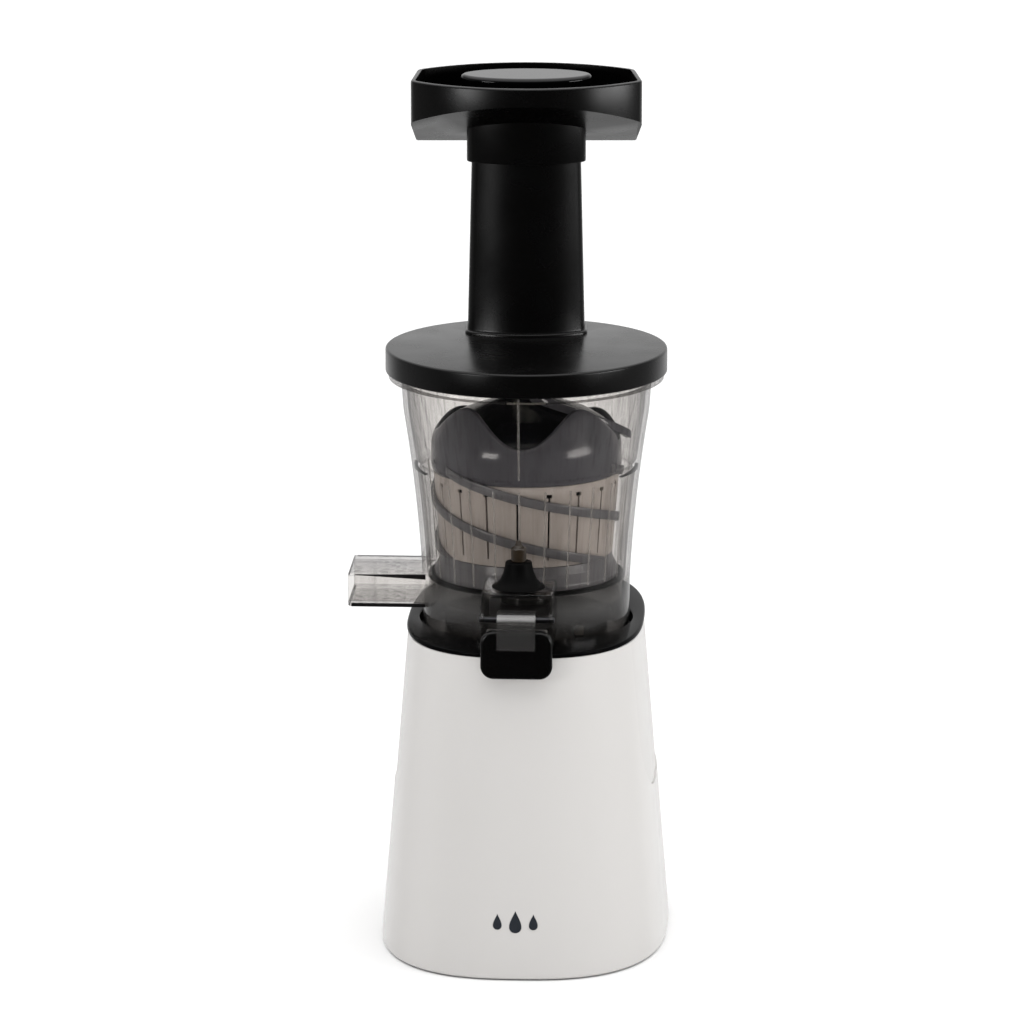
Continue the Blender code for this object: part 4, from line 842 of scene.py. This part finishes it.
def build_outlet_boot():
    place = ABOUT_AXIS @ Matrix.Translation((0, BOOT_Y, 0))
    bell = rounded([(3.2, 196.0), (6.2, 196.0, 0.8), (6.5, 193.5), (7.2, 190.6), (8.6, 187.6),
                    (10.4, 185.2), (13.0, 183.9, 0.2), (12.6, 183.8), (3.2, 183.8)])
    show(make("outlet_boot_bell", lathe(bell, 96), place),
         "drum_group", "black_rubber", "outlet_boot")
    stem = rounded([(0, 206.0), (0.9, 205.8, 0.4), (2.0, 203.4, 1.5), (3.6, 202.2, 0.6),
                    (3.6, 196.3), (2.8, 196.3), (2.8, 184.1), (0, 184.1)])
    show(make("outlet_stem_pin", lathe(stem, 64), place),
         "drum_group", "amber_plastic", "outlet_stem")


def build_juice_cap():
    outline = rectangle((-16.9, 144.0), (16.9, 167.0), 6.2, 10)
    cap = make("juice_cap_shell", prism(outline, 80.3, 86.0, 1.5, 5, facing_front))
    combine(cap, rod(4.3, -9.3, 9.3, PIVOT, turn=facing_side))
    show(cap, "cap_group", "black_plastic", "juice_cap")

    strap = [(-8.3, -13.0), (-6.3, -13.0), (-6.3, -3.4)]
    strap += arc(-2.3, -1.4, 4.0, 180, 90, 12)[1:] + [(0, 2.6), (0, 4.6)]
    strap += arc(-2.3, -1.4, 6.0, 90, 180, 16) + [(-8.3, -3.4)]
    strap = [(along + PIVOT[0], height + PIVOT[1]) for along, height in strap]
    lever = make("cap_lever_clear", prism(strap, -9, 9, turn=facing_side))
    combine(lever, rod(4.0, -9, 9, PIVOT, edge=0.4, turn=facing_side), operation="UNION")
    combine(lever, rod(1.8, -20, 20, PIVOT, 48, turn=facing_side))
    show(lever, "cap_group", "smoky_clear", "cap_lever", look="lever_clear")

    show(make("cap_pin_rod", rod(1.4, -17.6, 17.6, PIVOT, 48, 0.3, facing_side)),
         "drum_group", "steel", "cap_pin", look="dark_steel")


# Auger group.

def strainer_radius(height):
    share = (height - STRAINER_LOW) / (STRAINER_HIGH - STRAINER_LOW)
    return STRAINER_BOTTOM_RADIUS + (STRAINER_TOP_RADIUS - STRAINER_BOTTOM_RADIUS) * share


def build_strainer():
    """A tapered wall with upright slits, each with a wider head."""
    columns = SLIT_COUNT * SLIT_CELLS
    slit_low, head_low, head_high = 190.6, 221.2, 223.0
    levels = [STRAINER_LOW, 188.6, *spaced(slit_low, head_low, 8), head_high, 226.0, STRAINER_HIGH]
    points = []
    for inset in (0.0, 1.3):
        for height in levels:
            points += [(*point, height) for point in arc(
                0, 0, strainer_radius(height) - inset, FIRST_SLIT_DEG, FIRST_SLIT_DEG + 360,
                columns)[:-1]]

    def solid(row, column):
        if not 0 <= row < len(levels) - 1:
            return False
        cell = (column + 1) % SLIT_CELLS
        in_head = levels[row] == head_low and cell <= 2
        return not (in_head or (cell == 1 and slit_low <= levels[row] < head_low))

    def corner(layer, row, column):
        return (layer * len(levels) + row) * columns + column % columns

    faces = []
    for row in range(len(levels) - 1):
        for column in range(columns):
            if not solid(row, column):
                continue
            around = [(row, column), (row, column + 1), (row + 1, column + 1), (row + 1, column)]
            beyond = [(row - 1, column), (row, column + 1), (row + 1, column), (row, column - 1)]
            faces += [tuple(corner(layer, *place) for place in around) for layer in (0, 1)]
            for index, neighbour in enumerate(beyond):
                if not solid(*neighbour):
                    start, end = around[index], around[(index + 1) % 4]
                    faces.append((corner(0, *start), corner(0, *end), corner(1, *end),
                                  corner(1, *start)))
    show(make("strainer_slotted", (points, faces)),
         "auger_group", "strainer_beige", "auger_strainer")


def build_base_ring_and_hub():
    ring = rounded([(40.9, 187.0, 0.4), (41.6, 183.0, 4.0), (43.9, 178.0, 4.0), (43.9, 174.4, 0.4),
                    (12.9, 174.4), (12.9, 179.0), (38.4, 187.0)])
    show(make("base_ring", lathe(ring)), "auger_group", "auger_dark", "auger_base_ring")
    seal = rounded([(46.8, 175.7, 0.5), (46.8, 174.2, 0.5), (44.0, 173.8), (44.0, 176.2, 0.4)])
    show(make("base_ring_seal", lathe(seal)), "auger_group", "black_rubber")
    hub = make("hub_tube", rod(12.6, 168.0, 190.0, steps=96, edge=0.5))
    combine(hub, rod(6.3, 160, 186, steps=6))
    show(hub, "auger_group", "auger_dark", "auger_hub")


def crown_height(angle):
    """The top edge of the screw's wall: low at the front, back and sides, and highest between
    the front and each side."""
    rise = CROWN_RISE * (1 - CROWN_REAR_DROP * max(0.0, math.sin(angle)))
    return CROWN_LOW + rise * (0.5 - 0.5 * math.cos(CROWN_LOBES * angle))


def crown_radius(height):
    """The wall is upright below its shoulder, and leans in above it."""
    rise = max(height - SCREW_SHOULDER + SHOULDER_BEND / 2, 0.0)
    bend = min(rise, SHOULDER_BEND)
    return SCREW_RADIUS - CROWN_SLOPE * (bend * bend / (2 * SHOULDER_BEND) + rise - bend)


def build_screw():
    def ring(shift, height_at):
        places = [(angle, height_at(angle)) for angle in spaced(0.0, 2 * math.pi, 240)[:-1]]
        return [polar(crown_radius(height) - shift, angle, height) for angle, height in places]

    def climb(share, drop=0.0):
        return lambda angle: WALL_UPRIGHT + (crown_height(angle) - drop - WALL_UPRIGHT) * share

    rows = [ring(shift, lambda angle: WALL_LOW + rise)
            for shift, rise in ((0.8, 0.0), (0.2, 1.2), (0.0, 3.0))]
    rows += [ring(0.0, climb(share, 0.8)) for share in spaced(0.0, 1.0, 8)]
    rows += [ring(0.25, climb(1.0, 0.25)), ring(0.9, climb(1.0)), ring(1.8, climb(1.0)),
             ring(2.4, climb(1.0, 0.3)), ring(2.7, climb(1.0, 1.0))]
    rows += [ring(2.7, climb(share, 1.0)) for share in (0.7, 0.4, 0.1)]
    rows.append(ring(3.4, lambda angle: WALL_LOW))
    show(make("screw_wall", grid(rows, close_rows=True)),
         "auger_group", "auger_grey", "auger_screw")

    # The dome is near-black, a painted shade for the shadowed hollow under the lid, in place of the
    # auger's dark grey.
    dome = rounded([(0, 270.6), (6.4, 270.6, 0.6), (7.0, 262.6, 1.5), (18.0, 259.0, 12.0),
                    (30.0, 254.5, 14.0), (39.0, 249.5, 10.0), (42.4, 243.0), (42.4, 232.0),
                    (38.5, 226.0), (35.5, 190.3), (0, 190.3)])
    core = make("screw_dome", lathe(dome))
    combine(core, rod(3.3, 264.0, 275.0, steps=48))
    show(core, "auger_group", "auger_dark", look="dome_painted_shade")

    show(make("pivot_pin", rod(3.0, 264.3, 281.0, steps=48, edge=0.4)),
         "auger_group", "steel", "auger_pivot_pin")


def build_flights():
    """Spiral bands on the strainer that fall to the right, seen from outside."""
    for number in range(3):
        rows = []
        for share in spaced(0.0, 1.0, 200):
            top = FLIGHT_HIGH - (FLIGHT_HIGH - FLIGHT_LOW) * share
            bottom = max(top - FLIGHT_HEIGHT, STRAINER_LOW)
            angle = math.radians(120 * number - 90
                                 + 360 * (FLIGHT_TOP_AT_FRONT - top) / FLIGHT_LEAD)
            thick = FLIGHT_THICKNESS * min(1.0, share / 0.06 + 0.05)
            row = []
            for out, part in ((-0.3, 0.0), (0.8, 0.0), (1.0, 0.15), (1.0, 0.85), (0.8, 1.0),
                              (-0.3, 1.0)):
                height = bottom + (top - bottom) * part
                blend = min(max((height - 225.0) / 4.5, 0.0), 1.0)
                radius = (strainer_radius(height) + FLIGHT_STAND_OFF) * (1 - blend)
                radius += SCREW_RADIUS * blend + thick * out
                row.append(polar(radius, angle, height))
            rows.append(row)
        show(make(f"flight_band_{number + 1}", capped(rows)),
             "auger_group", "auger_dark", f"auger_flight_{number + 1}", 40)


def build_wing():
    """A blade that sweeps out from the middle of the dome, thin at its top edge."""
    rows = []
    for share in spaced(0.0, 1.0, 60):
        radius = WING_INNER + WING_SPAN * share
        angle = math.radians(WING_START_DEG + WING_SWEEP_DEG * share)
        along = Vector(polar(radius * math.radians(WING_SWEEP_DEG), angle + math.pi / 2, 0))
        along += Vector(polar(WING_SPAN, angle, 0))
        across = Vector((along.y, -along.x, 0)).normalized()
        centre = Vector(polar(radius, angle, 0))
        foot = 261.0 - 20.0 * share ** 1.8
        crown = max(foot + 4.0, 268.0 - 23.5 * share ** 1.3)
        row = []
        for side, height, lean in ((1.5, foot, 0), (1.2, crown - 0.7, 0.4), (0.6, crown, 0.5),
                                   (-0.6, crown, 0.5), (-1.2, crown - 0.7, 0.4), (-1.5, foot, 0)):
            point = centre + across * (side + lean)
            row.append((point.x, point.y, height))
        rows.append(row)
    show(make("wing_blade", capped(rows)), "auger_group", "auger_grey", "auger_wing", 45)


# Lid group.

def bow(centre_y, radius, half, towards_deg, corner, steps):
    """An arc about a point in the middle plane, half wide each way, with a corner at each end."""
    turn = math.degrees(math.asin(half / radius))
    line = arc(0, centre_y, radius, towards_deg - turn, towards_deg + turn, steps)
    return [(*line[0], corner), *line[1:-1], (*line[-1], corner)]


def chute_outline(scale, inset):
    """The chute's plan: a round front, straight sides and a back that follows the drum."""
    half = CHUTE_HALF_WIDTH_LOW * scale - inset
    front = CHUTE_FRONT_RADIUS * scale - inset
    front_centre = CHUTE_MIDDLE_Y + (CHUTE_FRONT_CENTRE - CHUTE_MIDDLE_Y) * scale
    rear = CHUTE_REAR_RADIUS * scale - inset
    rear_centre = CHUTE_MIDDLE_Y - CHUTE_MIDDLE_Y * scale
    near = bow(front_centre, front, half, 270, min(max(5.5 - inset, 2.5), 6.2), 14)
    return rounded(near + bow(rear_centre, rear, half, 90, 2.6, 10), 8)


def chute_row(height, inset):
    share = (height - LID_HIGH) / (CHUTE_TOP - LID_HIGH)
    scale = 1 - (1 - CHUTE_HALF_WIDTH_HIGH / CHUTE_HALF_WIDTH_LOW) * share
    return [(*point, height) for point in chute_outline(scale, inset)]


def build_lid():
    profile = rounded([(0, LID_HIGH), (LID_RADIUS, LID_HIGH, 1.3), (LID_RADIUS, LID_LOW, 0.8),
                       (LID_RADIUS - 2.4, LID_LOW, 0.5), (LID_RADIUS - 2.4, LID_UNDERSIDE, 0.5),
                       (0, LID_UNDERSIDE)])
    lid = make("lid_disc", lathe(profile, 224), ABOUT_LID)
    rows = [chute_row(level, CHUTE_WALL) for level in (LID_UNDERSIDE - 10, LID_HIGH + 20)]
    combine(lid, capped(rows), place=ABOUT_LID)
    show(lid, "lid_group", "black_plastic", "lid", 30)

    bead = 1.2
    rows = [chute_row(LID_UNDERSIDE + 0.1, 0.0), chute_row(LID_HIGH - 0.2, 0.0),
            chute_row(LID_HIGH - 0.2, -bead), chute_row(LID_HIGH + 0.6, -bead)]
    rows += [chute_row(LID_HIGH + 0.6 + rise, -bead + inset)
             for inset, rise in ((0.15, 0.5), (0.5, 0.85), (1.0, 1.0), (1.15, 1.4))]
    rim = edge_steps(0.8, 4)
    rows += [chute_row(level, 0.0) for level in spaced(LID_HIGH + 2.5, CHUTE_TOP - 0.8, 12)]
    rows += [chute_row(CHUTE_TOP - drop, inset) for inset, drop in reversed(rim[:-1])]
    rows += [chute_row(CHUTE_TOP - drop, CHUTE_WALL - inset) for inset, drop in rim]
    rows += [chute_row(level, CHUTE_WALL) for level in (340, 300, LID_UNDERSIDE + 0.1)]
    show(make("lid_chute", grid(rows, close_rows=True), ABOUT_LID), "lid_group", "black_plastic")


def build_lid_fittings():
    outer = drum_radius(DRUM_RIM)
    gasket = rounded([(outer, 283.0, 0.3), (outer, 281.5, 0.3), (outer - 2.2, 281.5, 0.3),
                      (outer - 2.2, 283.0, 0.3)])
    show(make("gasket_ring", lathe(gasket), ABOUT_LID), "lid_carrier", "grey_silicone",
         "lid_gasket")
    bush = rounded([(9.0, 283.0), (9.0, 273.0, 0.6), (7.6, 271.4, 0.6), (3.4, 271.4, 0.3),
                    (3.4, 283.0)])
    show(make("bush_ring", lathe(bush, 96), ABOUT_LID), "lid_group", "nylon", "lid_bush")


def tray_outline(inset):
    """The tray's plan: two wide arcs, front and back, joined by straight sides."""
    radius, corner = TRAY_ARC - inset, max(8.0 - inset, 1.0)
    near = bow(TRAY_FRONT_Y + TRAY_ARC, radius, TRAY_FRONT_HALF - inset, 270, corner, 18)
    return rounded(near + bow(TRAY_BACK_Y - TRAY_ARC, radius, TRAY_BACK_HALF - inset, 90, corner, 16),
                   8)


def slope_wedge(lift):
    """The space under the tray's sloping floor, raised by lift."""
    rise = math.tan(math.radians(SLOPE_DEG))
    start, floor = SLOPE_START_Y, TRAY_BOTTOM + lift
    outline = [(start, floor - 20), (start, floor), (start - 70, floor + 70 * rise),
               (start - 70, floor - 20)]
    return prism(outline, -70, 70, turn=facing_side)


def throat_outline(outer):
    scale = (CHUTE_HALF_WIDTH_HIGH + 0.3) / CHUTE_HALF_WIDTH_LOW
    return chute_outline(scale, CHUTE_HALF_WIDTH_HIGH + 0.3 - THROAT_HALF if outer else -0.5)


def build_hopper_tray():
    tray = make("tray_bowl", prism(tray_outline(0.0), TRAY_BOTTOM, TRAY_RIM, 0.9), ABOUT_LID)
    combine(tray, slope_wedge(0.0), place=ABOUT_LID)
    throat = prism(throat_outline(True), THROAT_LOW, TRAY_BOTTOM + THROAT_RISE, 0.6)
    combine(tray, throat, operation="UNION", place=ABOUT_LID)
    room = make("room", prism(tray_outline(TRAY_WALL), TRAY_BOTTOM + TRAY_WALL, TRAY_RIM + 10),
                ABOUT_LID)
    combine(room, slope_wedge(TRAY_WALL + 0.3), place=ABOUT_LID)
    mouth = [point[:2] for point in chute_row(CHUTE_TOP, CHUTE_WALL)]
    combine(tray, room, prism(throat_outline(False), THROAT_LOW - 5, CHUTE_TOP + GAP),
            prism(mouth, THROAT_LOW - 5, TRAY_RIM + 10), place=ABOUT_LID)
    show(tray, "tray", "black_plastic", "hopper_tray", 30)


def build_pusher():
    narrow = 22.6 / (CHUTE_HALF_WIDTH_LOW - CHUTE_WALL)
    outside = [(across * narrow, CHUTE_MIDDLE_Y + (along - CHUTE_MIDDLE_Y) * narrow)
               for across, along in chute_outline(1.0, CHUTE_WALL)]
    inside = [(across * 0.88, CHUTE_MIDDLE_Y + (along - CHUTE_MIDDLE_Y) * 0.82)
              for across, along in outside]
    body = make("pusher_stem", prism(outside, 300.0, 391.5, 0.8), ABOUT_LID)
    combine(body, prism(inside, 303.0, 396.0), place=ABOUT_LID)
    show(body, "pusher", "black_plastic", "pusher_body")
    oval = [(31.4 * across, CHUTE_MIDDLE_Y + 16.8 * along)
            for across, along in arc(0, 0, 1, 0, 360, 128)[:-1]]

    def ring(inset, height):
        return [(*point, height) for point in offset(oval, inset)]

    rows = [ring(inset, 391.8 + rise) for inset, rise in edge_steps(0.8, 3)]
    rows += [ring(inset, CAP_TOP - drop) for inset, drop in reversed(edge_steps(2.0, 7))]
    rows += [ring(2.6, CAP_TOP), ring(6.0, CAP_TOP)]
    show(make("pusher_cap_oval", capped(rows), ABOUT_LID),
         "pusher", "gloss_black", "pusher_cap", 30)


# What the CAD model shows itself.

def dress_cad_nodes():
    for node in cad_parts.values():
        for index, material in enumerate(node.data.materials):
            base = material.name.split(".")[0]
            if base in LOOKS and material is not LOOKS[base]:
                node.data.materials[index] = LOOKS[base]


# Studio.

def build_world():
    """Soft light from the sides: bright behind and overhead, dark in front."""
    world = bpy.data.worlds.new("studio")
    bpy.context.scene.world = world
    world.use_nodes = True
    sky = Nodes(world.node_tree)
    parts = sky.add("SeparateXYZ", {"Vector": sky.add("TexCoord").outputs["Generated"]})

    def ramp(axis, low, high, dark, bright):
        return sky.spread(parts.outputs[axis], dark, bright, low, high, "SMOOTHSTEP")

    around = sky.calculate("ADD", ramp("Y", -0.7, 0.1, WORLD_FRONT, WORLD_SIDES),
                           ramp("Y", 0.5, 0.92, 0.0, WORLD_BACK - WORLD_SIDES))
    background = sky.tree.nodes["Background"].inputs
    sky.feed(background["Strength"],
             sky.calculate("ADD", around, ramp("Z", 0.4, 0.9, 0.0, WORLD_TOP)))
    sky.feed(background["Color"], (1.0, 1.0, 1.0))


def build_floor():
    """A pale floor, and a dome as pale as it that only the camera sees."""
    look = Look("floor_white")
    look.set(Base_Color=look.blend(look.noise(3.0), (0.9, 0.9, 0.9), (0.92, 0.92, 0.92)),
             Roughness=0.9, Specular_IOR_Level=0.0)
    rows = [circle_row(FLOOR_RADIUS * share, 0.0, 96) for share in (0.0, 0.01, 0.1, 1.0)]
    floor = make("studio_floor", grid(rows), Matrix())
    floor.data.materials.append(look.material)
    floor.visible_glossy = False

    glow = Look("backdrop_white")
    glow.set(Emission_Color=glow.blend(glow.noise(0.2), (0.99, 0.99, 0.99), (1.0, 1.0, 1.0)),
             Emission_Strength=1.0, Base_Color=(0.0, 0.0, 0.0), Specular_IOR_Level=0.0)
    rises = [math.radians(rise) for rise in range(-3, 91, 3)]
    dome = make("studio_backdrop", grid([circle_row(
        FLOOR_RADIUS * math.cos(rise), FLOOR_RADIUS * math.sin(rise), 96) for rise in rises]),
        Matrix(), closed=False)
    dome.data.materials.append(glow.material)
    dome.data.shade_smooth()
    for ray in ("diffuse", "glossy", "shadow", "volume_scatter"):
        setattr(dome, "visible_" + ray, False)


def direction(right_deg, up_deg):
    """The way from the juicer to a place that far to the right of its front and above."""
    right, up = math.radians(right_deg), math.radians(up_deg)
    return Vector((math.sin(right) * math.cos(up), -math.cos(right) * math.cos(up), math.sin(up)))


def build_lamps():
    for name, right_deg, up_deg, wide, high, power in LAMPS:
        light = bpy.data.lights.new(name, "AREA")
        light.shape = "RECTANGLE"
        light.size, light.size_y = wide, high
        light.energy = power
        lamp = bpy.data.objects.new(name, light)
        away = direction(right_deg, up_deg)
        lamp.location = Vector((AXIS.x, AXIS.y, LAMP_AIM)) + away * LAMP_DISTANCE
        lamp.rotation_euler = away.to_track_quat("Z", "Y").to_euler()
        bpy.context.scene.collection.objects.link(lamp)


def build_camera():
    """A long lens a little to the right of the front and a little above."""
    data = bpy.data.cameras.new("camera")
    data.sensor_width = 36.0
    data.lens = CAMERA_LENS
    camera = bpy.data.objects.new("camera", data)
    back = direction(CAMERA_RIGHT_DEG, CAMERA_UP_DEG)
    turn = back.to_track_quat("Z", "Y")
    slide = turn @ Vector((*CAMERA_SLIDE, 0.0))
    camera.location = Vector((AXIS.x, AXIS.y, CAMERA_AIM)) + back * CAMERA_DISTANCE + slide
    camera.rotation_euler = turn.to_euler()
    bpy.context.scene.collection.objects.link(camera)
    bpy.context.scene.camera = camera


for build in (build_housing, build_side_panels, build_top_plate, build_feet, build_mark,
              build_switch_and_gland, build_drum, build_drum_ribs, build_drum_edge_shade, build_drum_seal,
              build_outlet_boot, build_juice_cap, build_strainer, build_base_ring_and_hub,
              build_screw, build_flights, build_wing, build_lid, build_lid_fittings,
              build_hopper_tray, build_pusher, dress_cad_nodes, build_world, build_floor,
              build_lamps, build_camera):
    build()
bpy.context.scene.view_settings.view_transform = "Standard"
